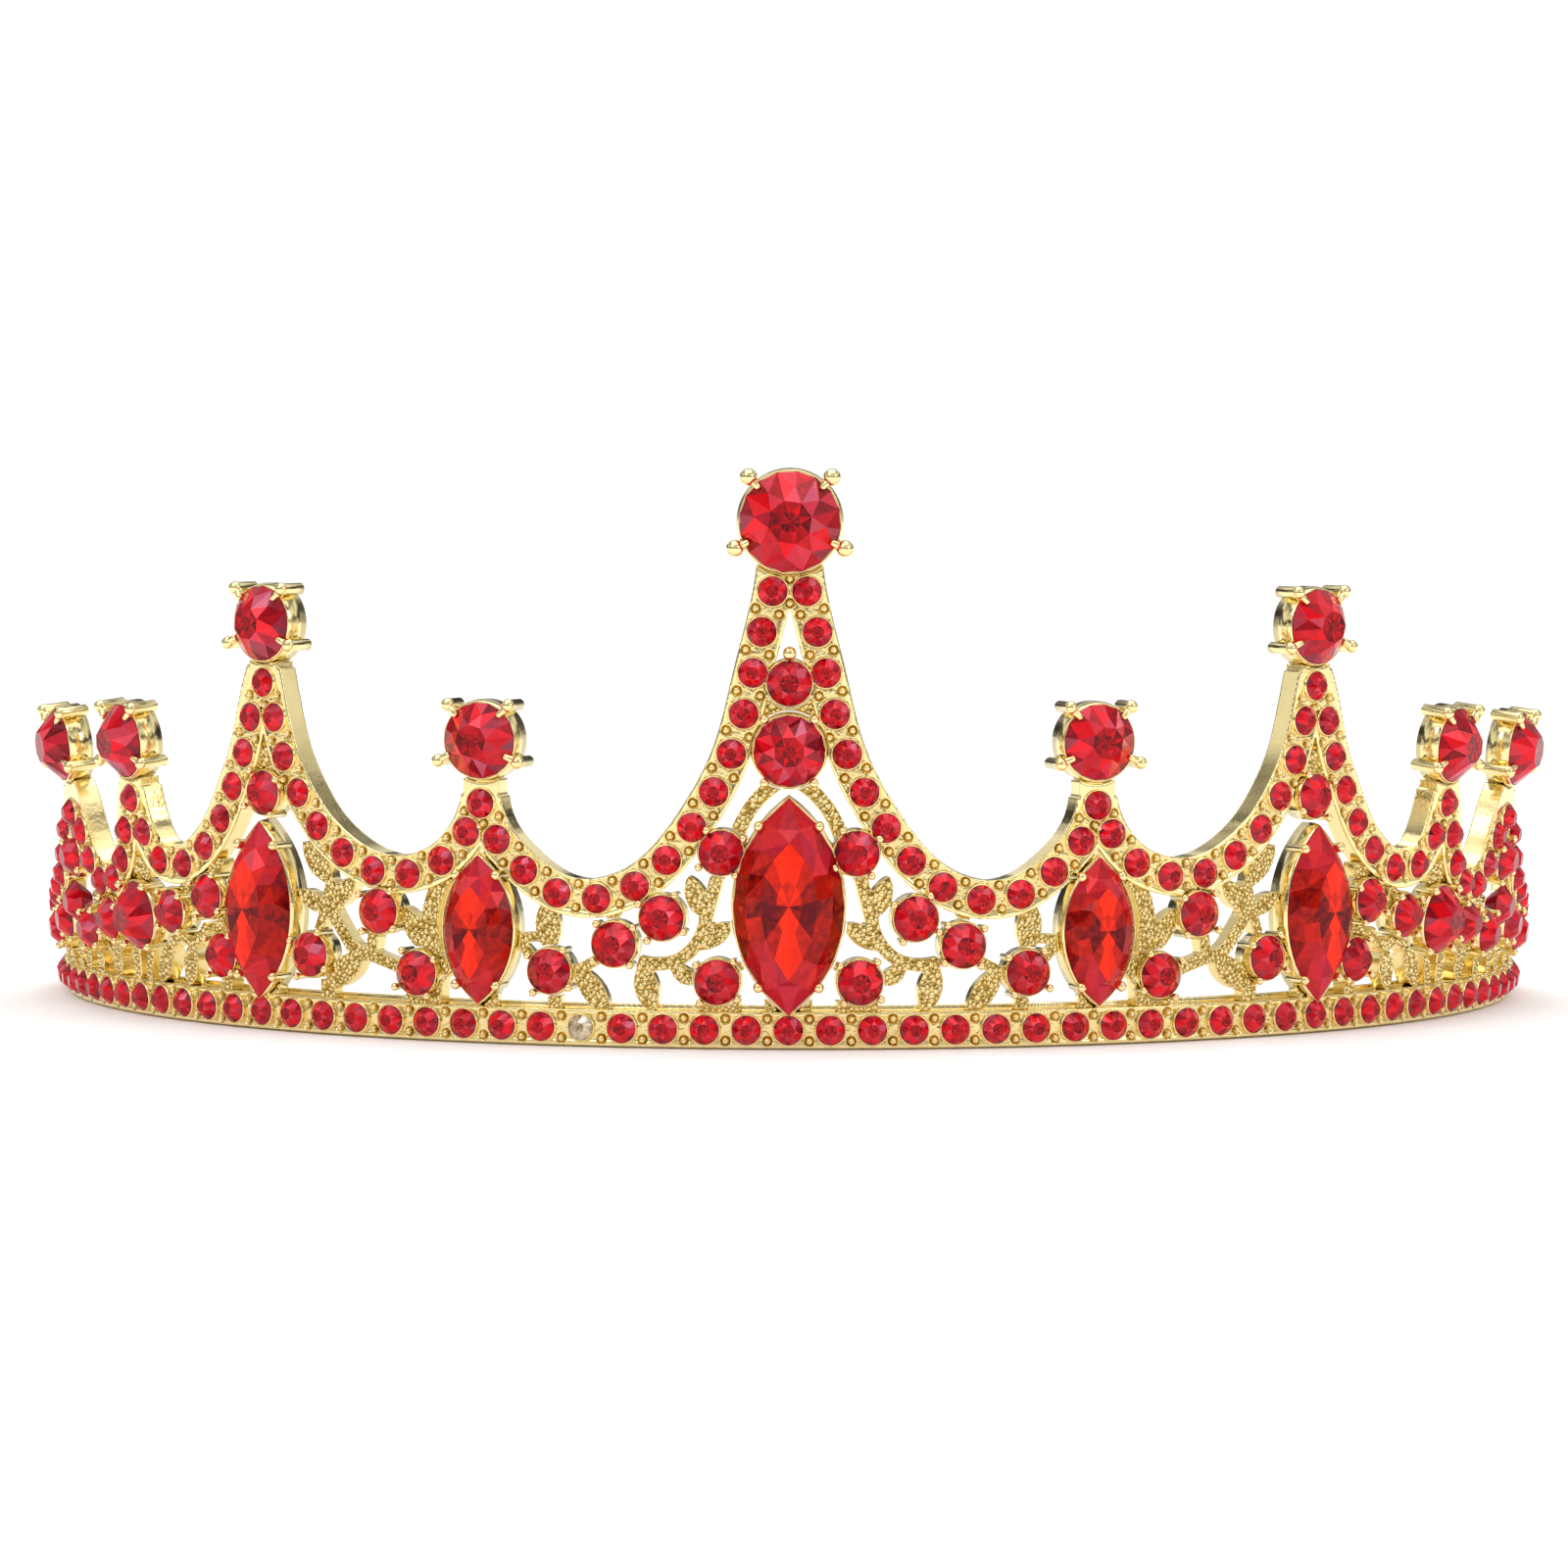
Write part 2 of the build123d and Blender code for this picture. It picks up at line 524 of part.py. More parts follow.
loop_solid = extrude(loop_plane * Pos(0, loop_lift) * loop_drawing, amount=LOOP_THICKNESS / 2, both=True)
pin_loop = trimmed(solids_of(loop_solid), [plain_band])
nodes["right_pin_loop"] = pin_loop
nodes["left_pin_loop"] = mirrored(pin_loop)

# ---- settings ----
gold = [plain_band]
right_cups = {}


def add_setting(name, solids):
    """Trim a setting against those before it and keep it under its name."""
    fitted = trimmed(solids, gold)
    gold.extend(fitted)
    right_cups[name] = fitted


centre_cups = {
    "centre_peak_basket": [
        peak_basket(*CENTRE_TOP, CENTRE_PEAK_RADIUS, CENTRE_PRONG_RADIUS, CENTRE_TIP_RADIUS)],
    "centre_marquise_cup": [marquise_setting(*MARQUISES["centre"][0], *MARQUISES["centre"][1:3])],
    "centre_large_cup": [cup(large_plane, LARGE_RADIUS, MEDIUM_GIRDLE, PEAK_CUP_WALL, CUP_RIM)],
    "centre_small_cup": [cup(small_plane, MEDIUM_RADIUS, MEDIUM_GIRDLE)],
}
for name, solids in centre_cups.items():
    add_setting(name, solids)
for name in ("inner", "outer"):
    (s, z), half_width, half_length, crown = MARQUISES[name]
    add_setting(f"{name}_marquise_cup", [marquise_setting(s, z, half_width, half_length)])
add_setting("side_round_cup", [cup(side_plane, LARGE_RADIUS, MEDIUM_GIRDLE, PEAK_CUP_WALL, CUP_RIM)])
for name, (s, z) in PEAK_TOPS.items():
    add_setting(f"{name}_peak_basket", [peak_basket(s, z, PEAK_RADIUS, PEAK_PRONG_RADIUS, PEAK_TIP_RADIUS)])
for bay, places in MEDIUM_STONES.items():
    bay_cups = []
    for s, z in places:
        fitted = trimmed([cup(wall_plane(s, z, MEDIUM_GIRDLE), MEDIUM_RADIUS, MEDIUM_GIRDLE)], gold)
        gold.extend(fitted)
        bay_cups.extend(fitted)
    right_cups[f"{bay}_cups"] = bay_cups

mirrored_seats = seats + mirrored(seats[:-len(centre_seats)])
for name, solids in right_cups.items():
    if name in centre_cups:
        nodes[name] = trimmed(solids, mirrored_seats + band_seats)
    else:
        bored = trimmed(solids, seats + band_seats)
        nodes[f"right_{name}"] = bored
        nodes[f"left_{name}"] = mirrored(bored)

# ---- peak arches ----
shell = wall_shell(WALL_BACK, WALL_FACE)
leaf_shell = wall_shell(LEAF_BACK, LEAF_FACE)
arch_names = ["centre", "inner", "outer", "side", "end"]
arch_middles = [0.0] + [PEAK_SINGLES[name][0] for name in arch_names[1:]]
arch_starts = [-SWAG_BOTTOMS[0]] + list(SWAG_BOTTOMS)
arch_ends = list(SWAG_BOTTOMS) + [SIDE_REACH]


def swag_strip(board, swag):
    """The stone-set bar of one swag, with its run on to each peak."""
    points = [swag["start"]] + swag["points"] + [swag["end"]]
    return strip(board, points, RAIL_WIDTH)


def reach_box(s_low, s_high):
    """Unrolled stretch of wall between two arc lengths, as a wedge cutter."""
    points = [(0.0, 0.0)]
    count = 8
    for i in range(count + 1):
        t = plan_angle(s_low + (s_high - s_low) * i / count)
        points.append((2 * HALF_WIDTH * math.sin(t), -2 * HALF_DEPTH * math.cos(t)))
    return extrude(make_face(Polyline(*points, close=True)), 3 * SHELL_TOP, both=True)


arches = {}
both_side_gold = gold + [piece for solid in gold[1:] for piece in mirrored([solid])]
for i, name in enumerate(arch_names):
    board = Board(arch_middles[i])
    if i == 0:
        half = swag_strip(board, SWAGS[0])
        drawing = half + mirror(half, about=Plane.YZ)
    else:
        s, z = PEAK_SINGLES[name]
        stem = strip(board, [(s, z - SMALL_RADIUS - 1), (s, PEAK_TOPS[name][1] - PEAK_RADIUS)], RAIL_WIDTH)
        drawing = swag_strip(board, SWAGS[i - 1]) + swag_strip(board, SWAGS[i]) + stem
    blanks = board.press(drawing, shell)
    wedge = reach_box(arch_starts[i], arch_ends[i])
    blanks = [solid for blank in blanks for solid in solids_of(blank & wedge)]
    arches[name] = trimmed(blanks, both_side_gold if i == 0 else gold)

nodes["centre_peak_arch"] = trimmed(arches["centre"], mirrored_seats)
for name in arch_names[1:]:
    bored = trimmed(arches[name], seats)
    nodes[f"right_{name}_peak_arch"] = bored
    nodes[f"left_{name}_peak_arch"] = mirrored(bored)

# ---- centre web and leaf sprays ----
board = Board(0.0)
web_drawing = make_face(Polyline(*[board.at(s, z) for s, z in CENTRE_WEB], close=True))
web = trimmed(board.press(web_drawing, leaf_shell), both_side_gold + arches["centre"])
nodes["centre_web"] = trimmed(web, mirrored_seats)

spray_middles = {"centre_bay": 17.0, "inner_bay": 47.0, "outer_bay": 69.0, "side_bay": 97.0}
all_arches = [solid for solids in arches.values() for solid in solids]
for bay, middle in spray_middles.items():
    board = Board(middle)
    pieces = []
    for base, tip, width in LEAVES[bay]:
        pieces.extend(board.press(leaf(board, base, tip, width), leaf_shell))
    for points, width in STEMS[bay]:
        pieces.extend(board.press(strip(board, points, width), leaf_shell))
    spray = solids_of(pieces[0].fuse(*pieces[1:]))
    spray = trimmed(spray, gold + all_arches + nodes["centre_web"])
    spray = trimmed(spray, seats)
    nodes[f"right_{bay}_spray"] = spray
    nodes[f"left_{bay}_spray"] = mirrored(spray)

# ---- stand the tiara on its band, centred, and write it out ----
whole = Compound([solid for solids in nodes.values() for solid in solids]).bounding_box()
to_base = Pos(-(whole.min.X + whole.max.X) / 2, -(whole.min.Y + whole.max.Y) / 2, -whole.min.Z)
os.makedirs("parts", exist_ok=True)
for name, solids in nodes.items():
    export_step(Compound([to_base * solid for solid in solids]), f"parts/{name}.step")
hole = to_base * loop_plane.location * Pos(0, loop_lift, 0)
print("nodes", len(nodes), "size", whole.size)
print("pin hole centre", hole.position, "axis", loop_plane.z_dir)
print("band centre moved to", to_base.position)
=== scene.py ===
"""Visual model of a gold openwork tiara with red stones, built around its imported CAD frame.

Every stone's place is read from the CAD stone nodes, and every cast part starts as a copy of its node's mesh.
The settings, beads, prongs and cut stones are modelled here and stand for the plain CAD solids.
"""

from __future__ import annotations

import logging
import math
import random
from dataclasses import dataclass, field
from enum import Enum
from itertools import product
from typing import Iterable, Sequence

import bmesh
import bpy
import numpy as np
from mathutils import Matrix, Vector

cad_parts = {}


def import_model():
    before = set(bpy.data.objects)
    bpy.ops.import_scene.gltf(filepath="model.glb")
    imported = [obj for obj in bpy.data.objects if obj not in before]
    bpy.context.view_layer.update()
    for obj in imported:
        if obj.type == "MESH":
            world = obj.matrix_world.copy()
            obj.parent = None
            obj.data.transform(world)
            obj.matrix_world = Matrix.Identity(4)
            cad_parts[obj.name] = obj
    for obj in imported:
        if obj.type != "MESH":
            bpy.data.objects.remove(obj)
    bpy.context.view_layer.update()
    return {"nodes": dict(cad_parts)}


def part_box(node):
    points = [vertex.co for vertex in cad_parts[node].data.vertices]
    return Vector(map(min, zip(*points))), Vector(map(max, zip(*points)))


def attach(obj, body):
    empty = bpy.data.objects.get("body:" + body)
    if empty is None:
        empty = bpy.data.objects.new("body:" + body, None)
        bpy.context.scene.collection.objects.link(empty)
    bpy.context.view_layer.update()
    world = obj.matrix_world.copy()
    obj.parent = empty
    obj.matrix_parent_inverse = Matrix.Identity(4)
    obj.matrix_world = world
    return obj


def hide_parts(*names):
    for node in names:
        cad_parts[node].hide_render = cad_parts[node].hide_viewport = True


MM = 0.001
BODY = "root"
LOG = logging.getLogger("tiara")

WELD = 2e-6
SLIVER_AREA = 1e-12
PARALLEL = 0.9998
FLATNESS = 0.01 * MM
GIRDLE_SHARE = 0.98
BAND_MIDDLE = 1.85 * MM

GRAIN_TURNS = ((0.7, "X"), (0.9, "Y"), (0.4, "Z"))
GRAIN_WAVES = ((127.1, 311.7, 74.7), (269.5, 183.3, 246.1), (113.5, 271.9, 124.6))
GRAIN_SCATTER = 43758.5453
GRAIN_MARGIN = 0.1
GRAIN_CREASE = 0.55


class Slot(Enum):
    """The material slots, each with its finish."""

    POLISHED = "polished_gold"
    MILLED = "milled_gold"
    RUBY = "ruby_round"
    MARQUISE = "ruby_marquise"
    PALE = "pale_stone"


class Cut(Enum):
    """How a stone is faceted."""

    CHATON = "chaton"
    FANCY_CHATON = "fancy chaton"
    MARQUISE = "marquise"


# ---------------------------------------------------------------- shader groups


class Wiring:
    """Short helpers that add and link the nodes of a tree."""

    def __init__(self, tree: bpy.types.NodeTree) -> None:
        """Starts on that tree."""
        self.tree = tree

    def node(self, kind: str, **values: object) -> bpy.types.Node:
        """Adds a node.

        Args:
            kind: the node's type, without "ShaderNode".
            values: properties to set on it.

        Returns:
            The new node.
        """
        made = self.tree.nodes.new(f"ShaderNode{kind}")
        for key, value in values.items():
            setattr(made, key, value)
        return made

    def link(self, source: bpy.types.NodeSocket, target: bpy.types.NodeSocket) -> None:
        """Links two sockets."""
        self.tree.links.new(source, target)

    def noise(self, vector: bpy.types.NodeSocket, scale: float, detail: float = 3.0) -> bpy.types.NodeSocket:
        """Adds a noise texture.

        Args:
            vector: where it is read.
            scale: its scale, per metre.
            detail: its octaves.

        Returns:
            The noise's value from 0 to 1.
        """
        made = self.node("TexNoise")
        made.inputs["Scale"].default_value = scale
        made.inputs["Detail"].default_value = detail
        self.link(vector, made.inputs["Vector"])
        return made.outputs["Fac"]

    def ramp(
        self, value: bpy.types.NodeSocket, low: float, high: float, to_low: float, to_high: float
    ) -> bpy.types.NodeSocket:
        """Maps a value smoothly from one range to another.

        Args:
            value: the value to map.
            low: the start of its range.
            high: the end of its range.
            to_low: what the start becomes.
            to_high: what the end becomes.

        Returns:
            The mapped value.
        """
        made = self.node("MapRange", interpolation_type="SMOOTHSTEP")
        for index, number in enumerate((low, high, to_low, to_high), start=1):
            made.inputs[index].default_value = number
        self.link(value, made.inputs[0])
        return made.outputs[0]


class ShaderGroup(Wiring):
    """A node group under construction, with named inputs and outputs."""

    def __init__(self, name: str) -> None:
        """Starts an empty group.

        Args:
            name: the group's name.
        """
        super().__init__(bpy.data.node_groups.new(name, "ShaderNodeTree"))
        self.inputs = self.tree.nodes.new("NodeGroupInput")
        self.outputs = self.tree.nodes.new("NodeGroupOutput")

    def takes(self, name: str, kind: str, default: object) -> None:
        """Adds a named input.

        Args:
            name: the socket's name.
            kind: "Float" or "Color".
            default: its value where nothing is linked.
        """
        socket = self.tree.interface.new_socket(name=name, in_out="INPUT", socket_type=f"NodeSocket{kind}")
        socket.default_value = default

    def gives(self, name: str, kind: str) -> None:
        """Adds a named output of that kind."""
        self.tree.interface.new_socket(name=name, in_out="OUTPUT", socket_type=f"NodeSocket{kind}")


def polish_group() -> bpy.types.NodeTree:
    """Polished plating: buffing haze, a fine ripple, and a rougher surface in recesses, with painted shade darkening
    their colour.

    Returns:
        The node group.
    """
    group = ShaderGroup("plating_polish")
    group.takes("Colour", "Color", (1.0, 0.76, 0.3, 1.0))
    group.takes("Recess Shade Colour", "Color", (0.5, 0.34, 0.08, 1.0))
    group.takes("Recess", "Float", 0.0)
    group.takes("Gloss Roughness", "Float", 0.1)
    group.takes("Haze", "Float", 0.08)
    for name, kind in (("Colour", "Color"), ("Roughness", "Float"), ("Height", "Float")):
        group.gives(name, kind)
    place = group.node("TexCoord").outputs["Object"]
    broad = group.noise(place, 240.0)
    fine = group.noise(place, 2600.0, 2.0)
    # painted shade: the colour darkens towards the recess shade colour where the channel and pits are pressed
    tone = group.node("Mix", data_type="RGBA")
    group.link(group.inputs.outputs["Colour"], tone.inputs[6])
    group.link(group.inputs.outputs["Recess Shade Colour"], tone.inputs[7])
    amount = group.node("Math", operation="MULTIPLY")
    group.link(group.inputs.outputs["Recess"], amount.inputs[0])
    group.link(group.ramp(broad, 0.3, 0.7, 0.65, 1.0), amount.inputs[1])
    group.link(amount.outputs[0], tone.inputs[0])
    group.link(tone.outputs[2], group.outputs.inputs["Colour"])
    tooth = group.node("Math", operation="MULTIPLY_ADD")
    group.link(group.ramp(group.noise(place, 1900.0, 2.0), 0.35, 0.65, 0.0, 4.0), tooth.inputs[0])
    group.link(group.inputs.outputs["Recess"], tooth.inputs[1])
    group.link(fine, tooth.inputs[2])
    haze = group.node("Math", operation="MULTIPLY_ADD")
    group.link(group.ramp(broad, 0.35, 0.75, 0.0, 1.0), haze.inputs[0])
    group.link(group.inputs.outputs["Haze"], haze.inputs[1])
    group.link(group.inputs.outputs["Gloss Roughness"], haze.inputs[2])
    group.link(haze.outputs[0], group.outputs.inputs["Roughness"])
    group.link(tooth.outputs[0], group.outputs.inputs["Height"])
    return group.tree


def milling_group() -> bpy.types.NodeTree:
    """Milled grain: bright grain tops, painted shade darkening the creases between them, and a fine tooth over both.

    Returns:
        The node group.
    """
    group = ShaderGroup("milled_grain_and_crease_shade")
    group.takes("Colour", "Color", (1.0, 0.76, 0.3, 1.0))
    group.takes("Crease Shade Colour", "Color", (0.36, 0.22, 0.04, 1.0))
    group.takes("Crease", "Float", 0.0)
    for name, kind in (("Colour", "Color"), ("Roughness", "Float"), ("Height", "Float")):
        group.gives(name, kind)
    place = group.node("TexCoord").outputs["Object"]
    # painted shade: the colour darkens towards the crease shade colour between the grains
    crease = group.ramp(group.inputs.outputs["Crease"], 0.45, 0.95, 0.0, 1.0)
    tone = group.node("Mix", data_type="RGBA")
    group.link(crease, tone.inputs[0])
    group.link(group.inputs.outputs["Colour"], tone.inputs[6])
    group.link(group.inputs.outputs["Crease Shade Colour"], tone.inputs[7])
    group.link(tone.outputs[2], group.outputs.inputs["Colour"])
    group.link(group.ramp(group.noise(place, 900.0), 0.3, 0.7, 0.12, 0.26), group.outputs.inputs["Roughness"])
    group.link(group.noise(place, 3800.0, 2.0), group.outputs.inputs["Height"])
    return group.tree


def foil_group() -> bpy.types.NodeTree:
    """Foil-backed glass with painted light: each facet's painted light tone between the shaded and the lit colour,
    and a pale painted highlight on some.

    Returns:
        The node group.
    """
    group = ShaderGroup("painted_facet_light")
    group.takes("Shaded Facet Colour", "Color", (0.1, 0.0, 0.005, 1.0))
    group.takes("Bright", "Color", (0.8, 0.02, 0.02, 1.0))
    group.takes("Painted Highlight Colour", "Color", (0.8, 0.45, 0.45, 1.0))
    group.takes("Painted Facet Light", "Float", 0.5)
    group.takes("Painted Highlight", "Float", 0.0)
    group.gives("Colour", "Color")
    group.gives("Roughness", "Float")
    place = group.node("TexCoord").outputs["Object"]
    # small random mottling of the painted facet light
    light_mottle = group.ramp(group.noise(place, 1400.0, 2.0), 0.25, 0.75, -0.12, 0.12)
    tone = group.node("Math", operation="ADD", use_clamp=True)
    group.link(group.inputs.outputs["Painted Facet Light"], tone.inputs[0])
    group.link(light_mottle, tone.inputs[1])
    body = group.node("Mix", data_type="RGBA")
    group.link(tone.outputs[0], body.inputs[0])
    group.link(group.inputs.outputs["Shaded Facet Colour"], body.inputs[6])
    group.link(group.inputs.outputs["Bright"], body.inputs[7])
    # painted highlight: a pale reflection mixed over some facets
    bloomed = group.node("Mix", data_type="RGBA")
    group.link(group.inputs.outputs["Painted Highlight"], bloomed.inputs[0])
    group.link(body.outputs[2], bloomed.inputs[6])
    group.link(group.inputs.outputs["Painted Highlight Colour"], bloomed.inputs[7])
    group.link(bloomed.outputs[2], group.outputs.inputs["Colour"])
    group.link(group.ramp(tone.outputs[0], 0.0, 1.0, 0.14, 0.05), group.outputs.inputs["Roughness"])
    return group.tree


# ---------------------------------------------------------------- finishes


class Dresser:
    """Makes each finish's material once, from shared node groups."""

    def __init__(self) -> None:
        """Builds the shared groups."""
        self.polish = polish_group()
        self.milling = milling_group()
        self.foil = foil_group()

    def start(self, name: str) -> tuple[bpy.types.Material, bpy.types.NodeTree, bpy.types.Node]:
        """Starts a material.

        Args:
            name: the material's name.

        Returns:
            The material, its node tree and its Principled node.
        """
        material = bpy.data.materials.new(name)
        material.use_nodes = True
        tree = material.node_tree
        return material, tree, tree.nodes["Principled BSDF"]

    def place(self, tree: bpy.types.NodeTree, group: bpy.types.NodeTree, values: dict) -> bpy.types.Node:
        """Puts a group in a material.

        Args:
            tree: the material's tree.
            group: the group to place.
            values: what its inputs are set to.

        Returns:
            The group's node.
        """
        node = tree.nodes.new("ShaderNodeGroup")
        node.node_tree = group
        for key, value in values.items():
            node.inputs[key].default_value = value
        return node

    def attribute(self, tree: bpy.types.NodeTree, name: str) -> bpy.types.Node:
        """Reads a mesh attribute in a material.

        Args:
            tree: the material's tree.
            name: the attribute's name.

        Returns:
            The node that reads it.
        """
        node = tree.nodes.new("ShaderNodeAttribute")
        node.attribute_name = name
        return node

    def bump(
        self, tree: bpy.types.NodeTree, height: bpy.types.NodeSocket, shader: bpy.types.Node, distance: float
    ) -> None:
        """Feeds a height to a shader's normal.

        Args:
            tree: the material's tree.
            height: the height socket.
            shader: the Principled node.
            distance: the relief's depth in metres.
        """
        node = tree.nodes.new("ShaderNodeBump")
        node.inputs["Distance"].default_value = distance
        node.inputs["Strength"].default_value = 0.6
        tree.links.new(height, node.inputs["Height"])
        tree.links.new(node.outputs["Normal"], shader.inputs["Normal"])


@dataclass(frozen=True)
class GoldFinish:
    """Bright gold plating, polished, with duller, rougher recesses that are darkened by painted shade."""

    name: str = "polished_gold"
    colour: tuple = (0.98, 0.81, 0.4, 1.0)
    # dark colour painted as shade in the pressed recesses
    recess_shade_colour: tuple = (0.55, 0.36, 0.08, 1.0)
    roughness: float = 0.1
    haze: float = 0.12
    ripple: float = 2.2e-5

    def make(self, dresser: Dresser) -> bpy.types.Material:
        """Builds the material.

        Args:
            dresser: the shared groups.

        Returns:
            The material.
        """
        material, tree, shader = dresser.start(self.name)
        shader.inputs["Metallic"].default_value = 1.0
        polish = dresser.place(tree, dresser.polish, {
            "Colour": self.colour, "Recess Shade Colour": self.recess_shade_colour,
            "Gloss Roughness": self.roughness, "Haze": self.haze,
        })
        # the recess attribute sets where the painted shade and the rougher tooth go
        recess = dresser.attribute(tree, "recess")
        tree.links.new(recess.outputs["Fac"], polish.inputs["Recess"])
        tree.links.new(polish.outputs["Colour"], shader.inputs["Base Color"])
        tree.links.new(polish.outputs["Roughness"], shader.inputs["Roughness"])
        dresser.bump(tree, polish.outputs["Height"], shader, self.ripple)
        return material


@dataclass(frozen=True)
class MilledFinish:
    """Gold plating over a grained face, smooth on the sides, with painted shade in the creases between grains."""

    name: str = "milled_gold"
    colour: tuple = (0.98, 0.8, 0.38, 1.0)
    # dark colour painted as shade in the creases between grains
    crease_shade_colour: tuple = (0.4, 0.24, 0.04, 1.0)
    relief: float = 2e-5

    def make(self, dresser: Dresser) -> bpy.types.Material:
        """Builds the material.

        Args:
            dresser: the shared groups.

        Returns:
            The material.
        """
        material, tree, shader = dresser.start(self.name)
        shader.inputs["Metallic"].default_value = 1.0
        milling = dresser.place(tree, dresser.milling, {
            "Colour": self.colour, "Crease Shade Colour": self.crease_shade_colour,
        })
        # the crease mask sets where the painted shade between grains goes
        crease_shade_mask = dresser.attribute(tree, "crease_shade_mask")
        tree.links.new(crease_shade_mask.outputs["Fac"], milling.inputs["Crease"])
        tree.links.new(milling.outputs["Colour"], shader.inputs["Base Color"])
        tree.links.new(milling.outputs["Roughness"], shader.inputs["Roughness"])
        dresser.bump(tree, milling.outputs["Height"], shader, self.relief)
        return material


@dataclass(frozen=True)
class GlassFinish:
    """Cut glass over foil: facets coloured with painted light, shade and highlights, under a clear glossy surface.
    """

    name: str
    shaded_facet_colour: tuple
    lit_facet_colour: tuple
    painted_highlight: tuple
    metallic: float = 0.25
    gloss: float = 0.18

    def make(self, dresser: Dresser) -> bpy.types.Material:
        """Builds the material.

        Args:
            dresser: the shared groups.

        Returns:
            The material.
        """
        material, tree, shader = dresser.start(self.name)
        shader.inputs["Metallic"].default_value = self.metallic
        shader.inputs["IOR"].default_value = 1.6
        shader.inputs["Specular IOR Level"].default_value = 0.12
        shader.inputs["Coat Weight"].default_value = self.gloss
        shader.inputs["Coat Roughness"].default_value = 0.02
        shader.inputs["Coat IOR"].default_value = 1.6
        foil = dresser.place(tree, dresser.foil, {
            "Shaded Facet Colour": self.shaded_facet_colour, "Bright": self.lit_facet_colour, "Painted Highlight Colour": self.painted_highlight,
        })
        # the facet attribute holds painted light: the tone in red, the painted highlight in green
        facet = dresser.attribute(tree, "facet")
        split = tree.nodes.new("ShaderNodeSeparateColor")
        tree.links.new(facet.outputs["Color"], split.inputs["Color"])
        tree.links.new(split.outputs["Red"], foil.inputs["Painted Facet Light"])
        tree.links.new(split.outputs["Green"], foil.inputs["Painted Highlight"])
        tree.links.new(foil.outputs["Colour"], shader.inputs["Base Color"])
        tree.links.new(foil.outputs["Roughness"], shader.inputs["Roughness"])
        return material


FINISHES = {
    Slot.POLISHED: GoldFinish(),
    Slot.MILLED: MilledFinish(),
    # glass colours: shaded facet colour, lit facet colour and painted highlight colour
    Slot.RUBY: GlassFinish("ruby_glass", (0.09, 0.0, 0.003, 1), (0.86, 0.003, 0.009, 1), (0.6, 0.14, 0.22, 1),
                           gloss=0.12),
    Slot.MARQUISE: GlassFinish("bright_ruby_glass", (0.1, 0.0, 0.002, 1), (1.0, 0.024, 0.002, 1),
                               (0.5, 0.03, 0.07, 1), 0.2, 0.08),
    Slot.PALE: GlassFinish("champagne_glass", (0.1, 0.06, 0.03, 1), (0.8, 0.66, 0.42, 1), (0.95, 0.9, 0.85, 1)),
}


# ---------------------------------------------------------------- mesh drafting


@dataclass
class Draft:
    """A mesh under construction: islands of vertices and faces, each face with a painted light tone and a painted
    highlight.
    """

    points: list = field(default_factory=list)
    faces: list = field(default_factory=list)
    tones: list = field(default_factory=list)

    def add(
        self,
        points: Iterable[Sequence[float]],
        faces: Iterable[Sequence[int]],
        place: Matrix = Matrix.Identity(4),
        tones: Sequence[tuple[float, float]] | None = None,
    ) -> None:
        """Adds an island.

        Args:
            points: its points, in its own coordinates.
            faces: its faces, as indices into the points.
            place: where its own coordinates lie.
            tones: a painted light tone and painted highlight for each face.
        """
        start = len(self.points)
        faces = list(faces)
        self.points.extend(place @ Vector(point) for point in points)
        self.faces.extend(tuple(start + index for index in face) for face in faces)
        self.tones.extend(tones or [(0.0, 0.0)] * len(faces))

    def build(
        self, name: str, material: bpy.types.Material, smooth: bool, coloured: bool = False
    ) -> bpy.types.Object:
        """Makes the object.

        Args:
            name: the object's name.
            material: its material.
            smooth: whether faces shade smoothly.
            coloured: whether the painted light tones are kept as the facet attribute.

        Returns:
            The object, linked to the scene.
        """
        mesh = bpy.data.meshes.new(name)
        mesh.from_pydata([tuple(point) for point in self.points], [], self.faces)
        mesh.validate()
        mesh.update()
        mesh.polygons.foreach_set("use_smooth", [smooth] * len(mesh.polygons))
        if coloured:
            # painted light: each face's tone and painted highlight go into the facet attribute
            layer = mesh.color_attributes.new("facet", "FLOAT_COLOR", "CORNER")
            values = np.ones((len(mesh.loops), 4), np.float32)
            for polygon, (tone, painted_highlight) in zip(mesh.polygons, self.tones):
                for loop in polygon.loop_indices:
                    values[loop, :2] = (tone, painted_highlight)
            layer.data.foreach_set("color", values.ravel())
        mesh.materials.append(material)
        made = bpy.data.objects.new(name, mesh)
        bpy.context.scene.collection.objects.link(made)
        return made


def lathe(profile: Sequence[tuple[float, float]], segments: int, closed: bool = False) -> tuple[list, list]:
    """Turns a profile about Z.

    Args:
        profile: (radius, height) points; a radius of 0 makes a pole.
        segments: the number of steps round the axis.
        closed: whether the last point joins the first, as on a ring.

    Returns:
        The points and the faces.
    """
    points: list = []
    rings: list = []
    for radius, height in profile:
        if radius <= 0:
            rings.append([len(points)] * segments)
            points.append((0.0, 0.0, height))
            continue
        rings.append(list(range(len(points), len(points) + segments)))
        for step in range(segments):
            turn = 2 * math.pi * step / segments
            points.append((radius * math.cos(turn), radius * math.sin(turn), height))
    faces = []
    pairs = list(zip(rings, rings[1:])) + ([(rings[-1], rings[0])] if closed else [])
    for low, high in pairs:
        for step in range(segments):
            after = (step + 1) % segments
            corners = [low[step], low[after], high[after], high[step]]
            unique = list(dict.fromkeys(corners))
            if len(unique) > 2:
                faces.append(unique)
    return points, faces


